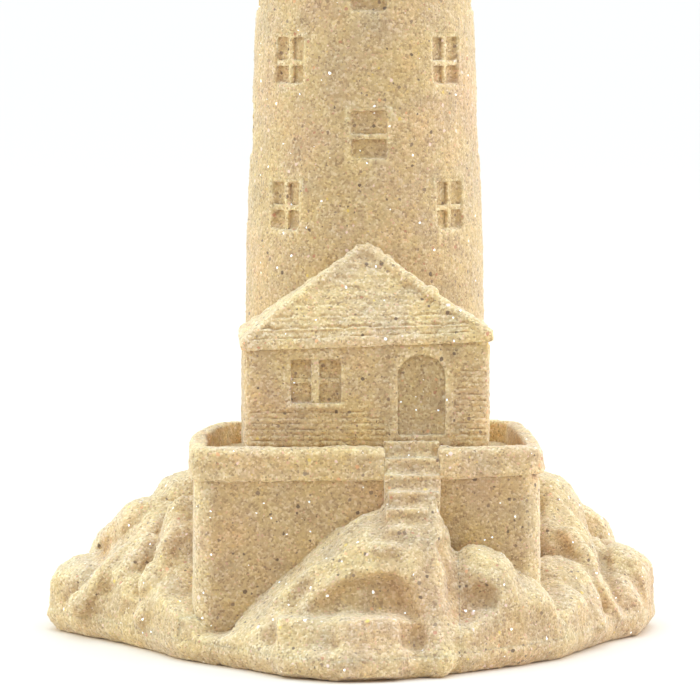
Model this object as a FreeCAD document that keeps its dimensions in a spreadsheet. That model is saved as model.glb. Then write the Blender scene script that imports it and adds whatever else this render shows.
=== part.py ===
import FreeCAD, Part

import math
import os

import Sketcher

# Lighthouse figurine of bonded sand: a rock base, a walled terrace with a stair, a keeper's cottage
# and a round tower with a gallery and a lantern. The front looks along -Y, +Z is up, and the origin
# is where the tower's axis meets the table.

# Driving sizes in millimetres: alias, number, meaning
SIZES = [
    ("base_width", "91", "rock base from side to side, on the table"),
    ("base_depth", "90", "rock base from front to back, on the table"),
    ("slab_height", "4.2", "height of the low slab under the rocks"),
    ("slab_waist", "2.2", "height at which the slab is widest"),
    ("slab_swell", "1.7", "how far the slab's edge stands out at its waist"),
    ("slab_shoulder", "0.5", "how far the slab's edge draws in again at its top"),
    ("rock_height", "18.5", "height of the tallest rocks above the slab"),
    ("terrace_width", "50", "terrace walls from side to side"),
    ("terrace_front", "30.2", "terrace front wall, from the tower's axis"),
    ("terrace_back", "18.8", "terrace back wall, from the tower's axis"),
    ("terrace_level", "26.2", "height of the terrace floor"),
    ("terrace_corner", "2.4", "rounding of the front corners"),
    ("terrace_back_corner", "6", "rounding of the back corners"),
    ("wall_batter", "0.8", "how far the terrace walls spread at their foot, in degrees"),
    ("coping_overhang", "0.8", "how far the parapet stands out over the walls"),
    ("coping_height", "4.8", "height of the parapet above the terrace floor"),
    ("coping_thick", "2.8", "thickness of the parapet at the sides and back"),
    ("coping_batter", "5", "lean of the parapet's outer face, in degrees"),
    ("coping_edge", "0.5", "bevel of the parapet's top edge"),
    ("lean_left", "0.7", "shift of cottage and terrace to the left of the axis"),
    ("stair_width", "7.6", "width of the top steps"),
    ("stair_offset", "5.6", "middle of the top steps, right of the axis"),
    ("step_rise", "2.2", "height of a step"),
    ("step_going", "2", "depth of a step"),
    ("threshold", "0.7", "height of the landing above the parapet"),
    ("cottage_width", "35.6", "cottage walls from side to side"),
    ("cottage_front", "27.5", "cottage front wall, from the tower's axis"),
    ("cottage_wall", "19.2", "height of the cottage walls"),
    ("recess_depth", "1", "depth of the door and window recesses"),
    ("clearance", "0.1", "gap round a door leaf or sash in its recess"),
    ("window_width", "7.2", "cottage window recess"),
    ("window_height", "6.3", "cottage window recess"),
    ("window_offset", "8.1", "middle of the cottage window, left of the axis"),
    ("window_sill", "11", "cottage window recess above the terrace floor"),
    ("sill_height", "0.8", "sill under the cottage window"),
    ("sill_relief", "0.5", "how far the sill stands out"),
    ("door_width", "6.9", "door recess"),
    ("door_height", "11.7", "door recess, to the top of the arch"),
    ("door_offset", "7.2", "middle of the door, right of the axis"),
    ("door_step", "0.8", "foot of the door above the landing"),
    ("surround_width", "1", "raised border round the door"),
    ("surround_relief", "0.35", "how far that border stands out"),
    ("leaf_thick", "0.5", "thickness of the door leaf"),
    ("bar_width", "0.6", "width of the glazing bars"),
    ("bar_thick", "0.6", "thickness of the glazing bars"),
    ("eave_overhang", "0.45", "how far the roof stands out over the walls"),
    ("fascia_height", "1.1", "upright edge of the roof"),
    ("roof_rise", "13", "height of the hipped roof above its fascia"),
    ("roof_course", "0.28", "how far each course of the roof stands over the next"),
    ("roof_knob", "1.2", "width of the roof's peak"),
    ("tower_foot_radius", "18.1", "tower at the terrace floor"),
    ("tower_top_radius", "14", "tower under the gallery"),
    ("tower_height", "96", "tower from the terrace floor to the gallery's corbel"),
    ("tower_bulge", "1.1", "how far the tower's side bows out from a straight taper"),
    ("light_width", "5.3", "tower window recess"),
    ("light_height", "7.4", "tower window recess"),
    ("light_depth", "1.1", "depth of the tower window recess at its middle"),
    ("first_light", "35.1", "lowest tower window above the terrace floor"),
    ("last_light", "10.7", "top of the highest tower window below the corbel"),
    ("corbel_height", "6", "flared ring that carries the gallery"),
    ("gallery_radius", "18.6", "gallery deck"),
    ("deck_thick", "2", "gallery deck"),
    ("deck_inset", "0.7", "how far corbel and gallery wall stand back from the deck's edge"),
    ("gallery_wall", "1.6", "thickness of the gallery wall"),
    ("gallery_wall_height", "5.6", "gallery wall above the deck"),
    ("panel_depth", "0.5", "depth of the panels in the gallery wall"),
    ("lantern_radius", "9.4", "lantern room, to the corners of its eight sides"),
    ("lantern_height", "14.5", "lantern room above the deck"),
    ("lantern_base", "5", "blind wall under the lantern's panes"),
    ("pane_depth", "0.7", "depth of the lantern's panes"),
    ("roof_radius", "11.4", "edge of the lantern's roof"),
    ("roof_edge", "1.2", "thickness of the lantern roof's edge"),
    ("lantern_roof_rise", "8.5", "lantern roof above its edge"),
    ("finial_radius", "2", "ball on the lantern's roof"),
    ("finial_stem", "1.1", "radius of the stem that carries the ball"),
    ("finial_height", "7", "stem, ball and point"),
    ("overrun", "1", "how far a cutting shape runs past the face that it cuts"),
]

# Counts
STEP_COUNT = 7
COURSE_COUNT = 9
TOWER_BANDS = 3
DOME_BANDS = 2
BALL_BANDS = 3
LIGHT_ROWS = 5
LIGHTS_PER_ROW = 4
PANEL_COUNT = 16
LANTERN_SIDES = 8

# Outline of the base on the table, as shares of half its width and half its depth, from the left
# round the front
BASE_OUTLINE_SHARES = [
    (-1.02, 0.0), (-0.92, -0.14), (-0.80, -0.295), (-0.70, -0.445), (-0.61, -0.63),
    (-0.405, -0.835), (-0.29, -0.985), (-0.13, -1.08), (0.07, -1.045), (0.285, -0.92),
    (0.455, -0.79), (0.59, -0.665), (0.685, -0.495), (0.78, -0.31), (0.89, -0.185),
    (0.94, 0.02), (0.89, 0.27), (0.75, 0.50), (0.56, 0.69), (0.275, 0.835),
    (-0.03, 0.865), (-0.34, 0.82), (-0.615, 0.68), (-0.835, 0.48), (-0.98, 0.235),
]

# Plan of one boulder, as shares of half its width and half its depth
BOULDER_PLAN_SHARES = [
    (1.0, 0.1), (0.62, 0.78), (-0.12, 1.0), (-0.8, 0.62),
    (-1.0, -0.2), (-0.48, -0.92), (0.3, -1.0), (0.86, -0.55),
]

# Levels of one boulder: share of its height, share of its plan
BOULDER_LEVEL_SHARES = [(0.0, 1.0), (0.55, 0.95), (0.85, 0.78), (1.0, 0.5)]

# Every boulder has five groups of shares: its middle; half its width and depth; its foot, its top and
# how much its top rises to the right and to the back; how far its top leans; and its turn in degrees.
# Beside the terrace, the first share of a pair runs from the terrace wall out to the base's edge.
LEFT_ROCK_SHARES = [
    ((0.12, 0.16), (0.30, 0.20), (0.0, 1.0, 0.10, 0.0), (-0.02, 0.0), 6),
    ((0.44, 0.06), (0.30, 0.17), (0.0, 0.84, 0.10, 0.0), (-0.08, 0.0), -8),
    ((0.82, 0.04), (0.36, 0.22), (0.0, 0.40, 0.30, 0.0), (-0.10, 0.0), 8),
    ((0.36, -0.15), (0.30, 0.10), (0.0, 0.76, 0.20, 0.20), (-0.12, 0.08), 26),
    ((0.62, -0.17), (0.30, 0.11), (0.0, 0.50, 0.40, 0.20), (-0.14, 0.06), 30),
    ((0.86, -0.15), (0.26, 0.12), (0.0, 0.24, 0.40, 0.0), (-0.10, 0.04), 20),
    ((0.08, -0.34), (0.26, 0.14), (0.0, 0.84, 0.0, 0.30), (-0.06, 0.08), 12),
    ((0.36, -0.27), (0.24, 0.09), (0.0, 0.34, 0.0, 0.0), (0.0, 0.0), 20),
    ((0.20, -0.48), (0.26, 0.13), (0.0, 0.48, 0.20, 0.40), (-0.06, 0.08), 24),
    ((0.44, -0.36), (0.20, 0.12), (0.0, 0.30, 0.30, 0.30), (-0.08, 0.06), 34),
    ((0.16, -0.60), (0.34, 0.14), (0.0, 0.22, 0.20, 0.40), (-0.02, 0.04), 30),
    ((0.40, 0.40), (0.50, 0.20), (0.0, 0.62, 0.20, -0.20), (-0.08, -0.04), -28),
]
RIGHT_ROCK_SHARES = [
    ((0.22, 0.12), (0.32, 0.22), (0.0, 1.0, -0.10, 0.0), (-0.04, 0.0), -6),
    ((0.72, 0.04), (0.32, 0.20), (0.0, 0.46, -0.20, 0.0), (-0.06, 0.0), 10),
    ((0.34, -0.16), (0.28, 0.13), (0.0, 0.70, -0.30, 0.20), (-0.08, 0.06), -26),
    ((0.60, -0.18), (0.26, 0.11), (0.0, 0.34, -0.30, 0.20), (-0.08, 0.06), -34),
    ((0.22, -0.38), (0.30, 0.13), (0.0, 0.42, -0.20, 0.20), (-0.04, 0.04), -20),
    ((0.10, -0.56), (0.32, 0.14), (0.0, 0.26, -0.20, 0.40), (-0.02, 0.04), -30),
    ((0.40, 0.42), (0.46, 0.20), (0.0, 0.66, -0.20, -0.20), (-0.08, -0.04), 30),
]

# In front of the terrace and behind it, the first share is one of half the terrace's width, and the
# second runs from its wall out to half the base's depth
STAIR_ROCK_SHARES = [
    ((0.34, 0.42), (0.11, 0.46), (0.0, 0.96, 0.0, 0.46), (0.0, 0.0), 0),
    ((0.20, 0.52), (0.16, 0.40), (0.0, 0.84, 0.10, 0.30), (0.0, 0.0), 0),
    ((0.24, 0.28), (0.28, 0.50), (0.0, 0.96, 0.0, 0.40), (0.0, 0.0), 0),
    ((0.12, 0.54), (0.34, 0.46), (0.0, 0.76, -0.10, 0.40), (0.0, 0.0), -4),
    ((-0.06, 0.34), (0.32, 0.52), (0.0, 0.84, 0.24, 0.30), (0.04, 0.0), -4),
    ((-0.26, 0.28), (0.36, 0.56), (0.0, 0.70, 0.50, 0.30), (0.06, 0.0), -4),
    ((-0.52, 0.24), (0.32, 0.50), (0.0, 0.42, 0.80, 0.26), (0.06, 0.0), 0),
]
STAIR_HOLLOW_SHARES = [
    ((-0.06, 0.96), (0.37, 0.42), (0.22, 0.54, 0.25, 0.0), (0.0, 0.0), 0),
]
FRONT_ROCK_SHARES = [
    ((-0.06, 0.78), (0.66, 0.52), (0.0, 0.25, 0.0, 0.40), (0.0, -0.10), 2),
    ((-0.56, 0.46), (0.42, 0.50), (0.0, 0.24, 0.20, 0.40), (0.04, -0.10), 24),
    ((-0.80, 0.16), (0.30, 0.40), (0.0, 0.14, 0.0, 0.30), (0.0, 0.0), 10),
    ((0.38, 0.50), (0.15, 0.34), (0.0, 0.78, -0.10, 0.10), (0.0, -0.16), 8),
    ((0.67, 0.28), (0.24, 0.38), (0.0, 0.66, -0.15, 0.10), (0.0, -0.04), -10),
    ((0.94, 0.14), (0.20, 0.34), (0.0, 0.42, -0.40, 0.20), (-0.04, -0.04), -16),
    ((0.68, 0.56), (0.50, 0.48), (0.0, 0.23, -0.10, 0.40), (0.0, -0.10), -24),
]
FRONT_HOLLOW_SHARES = [
    ((0.63, 0.70), (0.13, 0.20), (0.24, 0.44, 0.0, 0.0), (0.0, -0.10), 0),
    ((0.27, 1.04), (0.08, 0.24), (0.0, 0.18, 0.0, 0.0), (0.0, -0.10), 0),
]
REAR_ROCK_SHARES = [
    ((0.86, 0.18), (0.34, 0.30), (0.0, 0.72, -0.20, -0.20), (-0.04, -0.04), 24),
    ((0.60, 0.38), (0.34, 0.26), (0.0, 0.44, -0.20, -0.30), (-0.04, -0.06), -34),
    ((0.26, 0.20), (0.36, 0.30), (0.0, 0.86, 0.0, -0.20), (0.0, -0.04), -10),
    ((-0.20, 0.22), (0.34, 0.32), (0.0, 0.66, 0.0, -0.20), (0.02, -0.06), 18),
    ((-0.62, 0.18), (0.38, 0.30), (0.0, 0.78, 0.20, -0.20), (0.0, -0.04), -20),
    ((-0.84, 0.36), (0.34, 0.26), (0.0, 0.40, 0.20, -0.30), (0.04, -0.06), 30),
    ((0.08, 0.50), (0.42, 0.26), (0.0, 0.36, -0.20, -0.30), (0.0, -0.06), 12),
    ((-0.40, 0.50), (0.40, 0.24), (0.0, 0.28, 0.0, -0.30), (0.0, -0.06), -14),
]

# Shares of one size or another
ARCH_SHARE = 0.98
TREAD_LAP_SHARE = 2.2
RISER_LAP_SHARE = 1.8
FIRST_TREAD_SHARE = 0.6
PANEL_WIDTH_SHARE = 0.78
PANEL_FOOT_SHARE = 0.22

# Left and right edge of each step, as shares of half the stair's width from its middle: the lower
# steps narrow and turn to the left
STEP_EDGE_SHARES = [
    (-1.0, 1.0), (-1.0, 1.0), (-1.0, 1.0), (-0.9, 0.95), (-1.0, 0.5), (-1.0, -0.1), (-1.7, -0.6),
]

doc = FreeCAD.newDocument("SandLighthouse")
sheet = doc.addObject("Spreadsheet::Sheet", "dim")
for row, (alias, number, meaning) in enumerate(SIZES, start=1):
    sheet.set("A%d" % row, meaning)
    sheet.set("B%d" % row, number)
    sheet.setAlias("B%d" % row, alias)
doc.recompute()

# Places that several pieces share, as expressions in the sheet's sizes
COPING_TOP = "(dim.terrace_level + dim.coping_height)"
LANDING = "(dim.terrace_level + dim.coping_height + dim.threshold)"
EAVE = "(dim.terrace_level + dim.cottage_wall)"
TOWER_TOP = "(dim.terrace_level + dim.tower_height)"
DECK_FOOT = "(%s + dim.corbel_height)" % TOWER_TOP
DECK_TOP = "(%s + dim.deck_thick)" % DECK_FOOT
LANTERN_TOP = "(%s + dim.lantern_height)" % DECK_TOP
FINIAL_FOOT = "(%s + dim.roof_edge + dim.lantern_roof_rise)" % LANTERN_TOP
DOOR_FOOT = "(dim.terrace_level + dim.coping_height + dim.threshold + dim.door_step)"


def value(expression):
    """Number that an expression in the sheet's sizes gives."""
    return float(sheet.evalExpression(expression))


def vector(x, y, z="0"):
    return FreeCAD.Vector(value(x), value(y), value(z))


def origin_feature(body, role):
    for feature in body.Origin.OriginFeatures:
        if feature.Role == role:
            return feature


def new_body(label):
    body = doc.addObject("PartDesign::Body", label)
    body.Label = label
    return body


def new_sketch(body, name, role, lift="0"):
    """Sketch on one of the body's own planes, moved along that plane's normal."""
    sketch = body.newObject("Sketcher::SketchObject", name)
    sketch.AttachmentSupport = [(origin_feature(body, role), "")]
    sketch.MapMode = "FlatFace"
    sketch.setExpression("AttachmentOffset.Base.z", lift)
    return sketch


def hold(sketch, geometry, end, x, y):
    """Tie one point of a sketch to two expressions."""
    for kind, expression in (("DistanceX", x), ("DistanceY", y)):
        index = sketch.addConstraint(
            Sketcher.Constraint(kind, -1, 1, geometry, end, value(expression)))
        sketch.setExpression("Constraints[%d]" % index, expression)


def add_outline(sketch, points, arcs=None):
    """Closed outline through points given as expressions.

    arcs names the sides that are round: side number to (middle point, radius expression).
    """
    arcs = arcs or {}
    first = sketch.GeometryCount
    count = len(points)
    for side in range(count):
        start = vector(*points[side])
        finish = vector(*points[(side + 1) % count])
        if side in arcs:
            sketch.addGeometry(Part.Arc(start, arcs[side][0], finish))
        else:
            sketch.addGeometry(Part.LineSegment(start, finish))
    ends = []
    for side in range(count):
        start = vector(*points[side])
        drawn = sketch.getPoint(first + side, 1)
        ends.append((1, 2) if (drawn - start).Length < value("dim.clearance") / 100 else (2, 1))
    for side in range(count):
        following = (side + 1) % count
        sketch.addConstraint(Sketcher.Constraint(
            "Coincident", first + side, ends[side][1], first + following, ends[following][0]))
    for side in range(count):
        hold(sketch, first + side, ends[side][0], *points[side])
        if side in arcs:
            radius = arcs[side][1]
            index = sketch.addConstraint(Sketcher.Constraint("Radius", first + side, value(radius)))
            sketch.setExpression("Constraints[%d]" % index, radius)


def add_rectangle(sketch, left, right, low, high):
    add_outline(sketch, [(left, low), (right, low), (right, high), (left, high)])


def add_rounded_rectangle(sketch, left, right, low, high, low_radius, high_radius):
    """Rectangle with one radius at its two low corners and another at its two high ones."""
    points = []
    arcs = {}
    corners = [
        (left, low, 1, 1, low_radius, False), (right, low, -1, 1, low_radius, True),
        (right, high, -1, -1, high_radius, False), (left, high, 1, -1, high_radius, True),
    ]
    for x, y, x_sign, y_sign, radius, along_first in corners:
        on_level = ("%s + (%s) * %d" % (x, radius, x_sign), y)
        on_side = (x, "%s + (%s) * %d" % (y, radius, y_sign))
        centre = vector(on_level[0], on_side[1])
        outward = FreeCAD.Vector(-x_sign, -y_sign, 0).normalize()
        arcs[len(points)] = (centre + outward * value(radius), radius)
        points += [on_level, on_side] if along_first else [on_side, on_level]
    add_outline(sketch, points, arcs)


def between(start, finish, share):
    return "((%s) + ((%s) - (%s)) * %s)" % (start, finish, start, share)


def bellied(start, finish, belly, bands):
    """Points between two others whose radius swells, by the belly at the middle."""
    points = []
    for number in range(1, bands):
        share = "%d / %d" % (number, bands)
        radius = between(start[0], finish[0], share)
        swell = "4 * (%s) * %s * (1 - %s)" % (belly, share, share)
        points.append(("%s + %s" % (radius, swell), between(start[1], finish[1], share)))
    return points


def pad(body, sketch, name, length, taper=None):
    feature = body.newObject("PartDesign::Pad", name)
    feature.Profile = sketch
    feature.setExpression("Length", length)
    if taper:
        feature.setExpression("TaperAngle", taper)
    doc.recompute()
    return feature


def pocket(body, sketch, name, length, outward=False):
    """Cut that has to take something away, or the build stops."""
    before = body.Shape.Volume
    feature = body.newObject("PartDesign::Pocket", name)
    feature.Profile = sketch
    feature.Reversed = outward
    feature.setExpression("Length", length)
    doc.recompute()
    if not body.Shape.Volume < before:
        raise ValueError("%s cuts nothing" % name)
    return feature


def revolve(body, sketch, name):
    feature = body.newObject("PartDesign::Revolution", name)
    feature.Profile = sketch
    feature.ReferenceAxis = (sketch, ["V_Axis"])
    feature.Angle = 360
    doc.recompute()
    return feature


def ring_pattern(body, feature, name, count):
    pattern = body.newObject("PartDesign::PolarPattern", name)
    pattern.Originals = [feature]
    pattern.Axis = (origin_feature(body, "Z_Axis"), [""])
    pattern.Angle = 360
    pattern.Occurrences = count
    body.Tip = pattern
    doc.recompute()
    return pattern


def edges_where(shape, chosen):
    return ["Edge%d" % (i + 1) for i, edge in enumerate(shape.Edges) if chosen(edge)]


def bevel_edges(body, base, name, size, chosen):
    feature = body.newObject("PartDesign::Chamfer", name)
    feature.Base = (base, edges_where(base.Shape, chosen))
    feature.setExpression("Size", size)
    doc.recompute()
    return feature


def cut(label, base, tools):
    """Piece whose hidden side takes the form of the pieces that it stands against."""
    piece = base
    for number, tool in enumerate(tools):
        result = doc.addObject("Part::Cut", "%s_cut_%d" % (label, number))
        result.Base = piece
        result.Tool = tool
        piece = result
    doc.recompute()
    piece.Label = label
    return piece


def feature_from(label, shape):
    piece = doc.addObject("Part::Feature", label)
    piece.Label = label
    piece.Shape = shape
    piece.Placement = FreeCAD.Placement()
    return piece


def faceted(rings):
    """Solid with flat faces between level rings of points, closed by the first and the last one."""
    faces = []
    for low, high in zip(rings, rings[1:]):
        for number, point in enumerate(low):
            following = (number + 1) % len(low)
            for corners in ([point, low[following], high[following]],
                            [point, high[following], high[number]]):
                faces.append(Part.Face(Part.makePolygon(corners + corners[:1])))
    for ring in (rings[0], rings[-1]):
        faces.append(Part.Face(Part.makePolygon(ring + ring[:1])))
    solid = Part.makeSolid(Part.makeShell(faces))
    if solid.Volume < 0:
        solid.reverse()
    return solid


def base_ring(growth, height):
    """Outline of the base, grown outwards, at one height."""
    half_width = value("dim.base_width / 2") + growth
    half_depth = value("dim.base_depth / 2") + growth
    return [FreeCAD.Vector(x * half_width, y * half_depth, height) for x, y in BASE_OUTLINE_SHARES]


def rock_base():
    """Low slab: its foot draws in to the table and its edge swells at the waist."""
    rings = [
        base_ring(0, 0),
        base_ring(value("dim.slab_swell"), value("dim.slab_waist")),
        base_ring(value("dim.slab_swell - dim.slab_shoulder"), value("dim.slab_height")),
    ]
    return feature_from("rock_base", faceted(rings))


def boulder(row, origin, span):
    """One faceted boulder that stands on the slab, its shares measured from an origin in a span."""
    middle_shares, half_shares, height_shares, lean_shares, turn = row
    foot_share, top_share, right_rise_share, back_rise_share = height_shares
    rock_height = value("dim.rock_height")
    foot = value("dim.slab_height") + foot_share * rock_height
    height = (top_share - foot_share) * rock_height
    half_width = half_shares[0] * abs(span[0])
    half_depth = half_shares[1] * abs(span[1])
    swing = math.radians(turn)
    rings = []
    for level_share, spread_share in BOULDER_LEVEL_SHARES:
        ring = []
        for plan_x, plan_y in BOULDER_PLAN_SHARES:
            across = plan_x * spread_share
            along = plan_y * spread_share
            rise = level_share * (1 + right_rise_share * across + back_rise_share * along)
            x = origin[0] + (middle_shares[0] + lean_shares[0] * level_share) * span[0]
            y = origin[1] + (middle_shares[1] + lean_shares[1] * level_share) * span[1]
            x += across * half_width * math.cos(swing) - along * half_depth * math.sin(swing)
            y += across * half_width * math.sin(swing) + along * half_depth * math.cos(swing)
            ring.append(FreeCAD.Vector(x, y, foot + height * rise))
        rings.append(ring)
    return faceted(rings)


def rocks(label, rows, hollow_rows, origin, span, neighbours):
    """Boulders grown together inside the base's outline, fitted round what stands against them."""
    low = value("dim.slab_height")
    high = value("dim.terrace_level + dim.rock_height")
    growth = value("dim.slab_swell - dim.slab_shoulder")
    mass = boulder(rows[0], origin, span)
    for row in rows[1:]:
        mass = mass.fuse(boulder(row, origin, span))
    for row in hollow_rows:
        mass = mass.cut(boulder(row, origin, span))
    for neighbour in neighbours:
        mass = mass.cut(neighbour.Shape)
    mass = mass.common(faceted([base_ring(growth, low), base_ring(growth, high)]))
    mass = mass.removeSplitter()
    largest = max(mass.Solids, key=lambda solid: solid.Volume)
    return feature_from(label, largest)


def terrace_block():
    body = new_body("terrace_walls")
    outline = new_sketch(body, "TerraceOutline", "XY_Plane", "dim.terrace_level")
    add_rounded_rectangle(
        outline,
        "-dim.terrace_width / 2 - dim.lean_left", "dim.terrace_width / 2 - dim.lean_left",
        "-dim.terrace_front", "dim.terrace_back", "dim.terrace_corner", "dim.terrace_back_corner")
    block = body.newObject("PartDesign::Pad", "TerraceBlock")
    block.Profile = outline
    block.Reversed = True
    block.setExpression("Length", "dim.terrace_level - dim.slab_height")
    block.setExpression("TaperAngle", "dim.wall_batter")
    doc.recompute()
    return body


def coping():
    """Parapet band round the terrace, open at the stair."""
    body = new_body("coping_ring")
    outline = new_sketch(body, "CopingOutline", "XY_Plane", "dim.terrace_level")
    outer = "(dim.terrace_width / 2 + dim.coping_overhang)"
    add_rounded_rectangle(
        outline,
        "-%s - dim.lean_left" % outer, "%s - dim.lean_left" % outer,
        "-dim.terrace_front - dim.coping_overhang", "dim.terrace_back + dim.coping_overhang",
        "dim.terrace_corner + dim.coping_overhang", "dim.terrace_back_corner + dim.coping_overhang")
    band = pad(body, outline, "CopingBand", "dim.coping_height", "-dim.coping_batter")
    top = value(COPING_TOP)
    tolerance = value("dim.clearance") / 100
    bevel_edges(body, band, "CopingEdge", "dim.coping_edge",
                lambda edge: all(abs(v.Point.z - top) < tolerance for v in edge.Vertexes))
    yard = new_sketch(body, "Yard", "XY_Plane", COPING_TOP)
    inner = "(%s - dim.coping_thick)" % outer
    inner_corner = "(dim.terrace_back_corner + dim.coping_overhang - dim.coping_thick)"
    add_rounded_rectangle(
        yard,
        "-%s - dim.lean_left" % inner, "%s - dim.lean_left" % inner,
        "-dim.cottage_front", "dim.terrace_back + dim.coping_overhang - dim.coping_thick",
        "dim.coping_edge", inner_corner)
    pocket(body, yard, "YardHollow", "dim.coping_height + dim.overrun")
    gap = new_sketch(body, "StairGap", "XY_Plane", COPING_TOP)
    add_rectangle(
        gap,
        "dim.stair_offset - dim.stair_width / 2", "dim.stair_offset + dim.stair_width / 2",
        "-dim.terrace_front - dim.coping_overhang - dim.overrun", "-dim.cottage_front + dim.overrun")
    pocket(body, gap, "GapCut", "dim.coping_height + dim.overrun")
    return body


def stair():
    """Seven steps from the landing at the door down to the rocks."""
    body = new_body("stair_steps")
    for number in range(STEP_COUNT):
        left_share, right_share = STEP_EDGE_SHARES[number]
        top = "(%s - dim.step_rise * %d)" % (LANDING, number)
        treads = number + FIRST_TREAD_SHARE
        front = "(-dim.cottage_front - dim.step_going * %s)" % treads
        back = "min(%s + dim.step_going * %s; -dim.cottage_front)" % (front, TREAD_LAP_SHARE)
        foot = "min(%s - dim.step_rise * %s; dim.terrace_level)" % (top, RISER_LAP_SHARE)
        tread = new_sketch(body, "Tread%d" % number, "XY_Plane", foot)
        add_rectangle(
            tread,
            "dim.stair_offset + dim.stair_width / 2 * (%s)" % left_share,
            "dim.stair_offset + dim.stair_width / 2 * (%s)" % right_share,
            front, back)
        pad(body, tread, "Step%d" % number, "%s - %s" % (top, foot))
    return body


def arched(left, right, foot, spring, crown):
    """Points and arc of a round-headed opening."""
    points = [(left, foot), (right, foot), (right, spring), (left, spring)]
    middle = vector("(%s + %s) / 2" % (left, right), crown)
    rise = "(%s - (%s))" % (crown, spring)
    square = "((%s) - (%s))^2" % (right, left)
    radius = "(%s / (8 * %s) + %s / 2)" % (square, rise, rise)
    return points, {2: (middle, radius)}


def door_outline(margin):
    """Outline of the door, grown by a margin on its sides and arch but not at its foot."""
    left = "dim.door_offset - dim.door_width / 2 - (%s)" % margin
    right = "dim.door_offset + dim.door_width / 2 + (%s)" % margin
    spring = "(%s + dim.door_height - dim.door_width / 2 * %s)" % (DOOR_FOOT, ARCH_SHARE)
    crown = "(%s + dim.door_height + (%s))" % (DOOR_FOOT, margin)
    return arched(left, right, DOOR_FOOT, spring, crown)


def cottage_block():
    body = new_body("cottage_block")
    plan = new_sketch(body, "CottagePlan", "XY_Plane", "dim.terrace_level")
    add_rectangle(
        plan,
        "-dim.cottage_width / 2 - dim.lean_left", "dim.cottage_width / 2 - dim.lean_left",
        "-dim.cottage_front", "0")
    pad(body, plan, "CottageWalls", "dim.cottage_wall")
    border = new_sketch(body, "DoorBorder", "XZ_Plane", "dim.cottage_front")
    points, arcs = door_outline("dim.surround_width")
    add_outline(border, points, arcs)
    pad(body, border, "DoorSurround", "dim.surround_relief")
    sill = new_sketch(body, "SillOutline", "XZ_Plane", "dim.cottage_front")
    window_foot = "dim.terrace_level + dim.window_sill"
    add_rectangle(
        sill,
        "-dim.window_offset - dim.window_width / 2 - dim.bar_width",
        "-dim.window_offset + dim.window_width / 2 + dim.bar_width",
        "%s - dim.sill_height" % window_foot, window_foot)
    pad(body, sill, "WindowSill", "dim.sill_relief")
    window = new_sketch(body, "WindowOutline", "XZ_Plane", "dim.cottage_front")
    add_rectangle(
        window,
        "-dim.window_offset - dim.window_width / 2", "-dim.window_offset + dim.window_width / 2",
        window_foot, "%s + dim.window_height" % window_foot)
    pocket(body, window, "WindowRecess", "dim.recess_depth")
    door = new_sketch(body, "DoorOutline", "XZ_Plane", "dim.cottage_front + dim.surround_relief")
    points, arcs = door_outline("0")
    add_outline(door, points, arcs)
    pocket(body, door, "DoorRecess", "dim.recess_depth + dim.surround_relief")
    return body


def cottage_door():
    body = new_body("cottage_door")
    leaf = new_sketch(body, "LeafOutline", "XZ_Plane", "dim.cottage_front - dim.recess_depth")
    points, arcs = door_outline("-dim.clearance")
    add_outline(leaf, points, arcs)
    pad(body, leaf, "Leaf", "dim.leaf_thick")
    return body


def glazing(body, name, left, right, low, high, columns, rows, lift):
    """Sash with its panes left open, seated on the floor of its recess."""
    sash = new_sketch(body, name, "XZ_Plane", lift)
    add_rectangle(sash, left, right, low, high)
    pane_width = "((%s - (%s) - dim.bar_width * %d) / %d)" % (right, left, columns + 1, columns)
    pane_height = "((%s - (%s) - dim.bar_width * %d) / %d)" % (high, low, rows + 1, rows)
    for column in range(columns):
        for row in range(rows):
            x = "(%s + dim.bar_width + (dim.bar_width + %s) * %d)" % (left, pane_width, column)
            y = "(%s + dim.bar_width + (dim.bar_width + %s) * %d)" % (low, pane_height, row)
            add_rectangle(sash, x, "%s + %s" % (x, pane_width), y, "%s + %s" % (y, pane_height))
    pad(body, sash, name + "Bars", "dim.bar_thick")


def cottage_window():
    body = new_body("cottage_window")
    foot = "dim.terrace_level + dim.window_sill"
    glazing(
        body, "CottageSash",
        "-dim.window_offset - dim.window_width / 2 + dim.clearance",
        "-dim.window_offset + dim.window_width / 2 - dim.clearance",
        "%s + dim.clearance" % foot, "%s + dim.window_height - dim.clearance" % foot,
        2, 2, "dim.cottage_front - dim.recess_depth")
    return body


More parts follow.
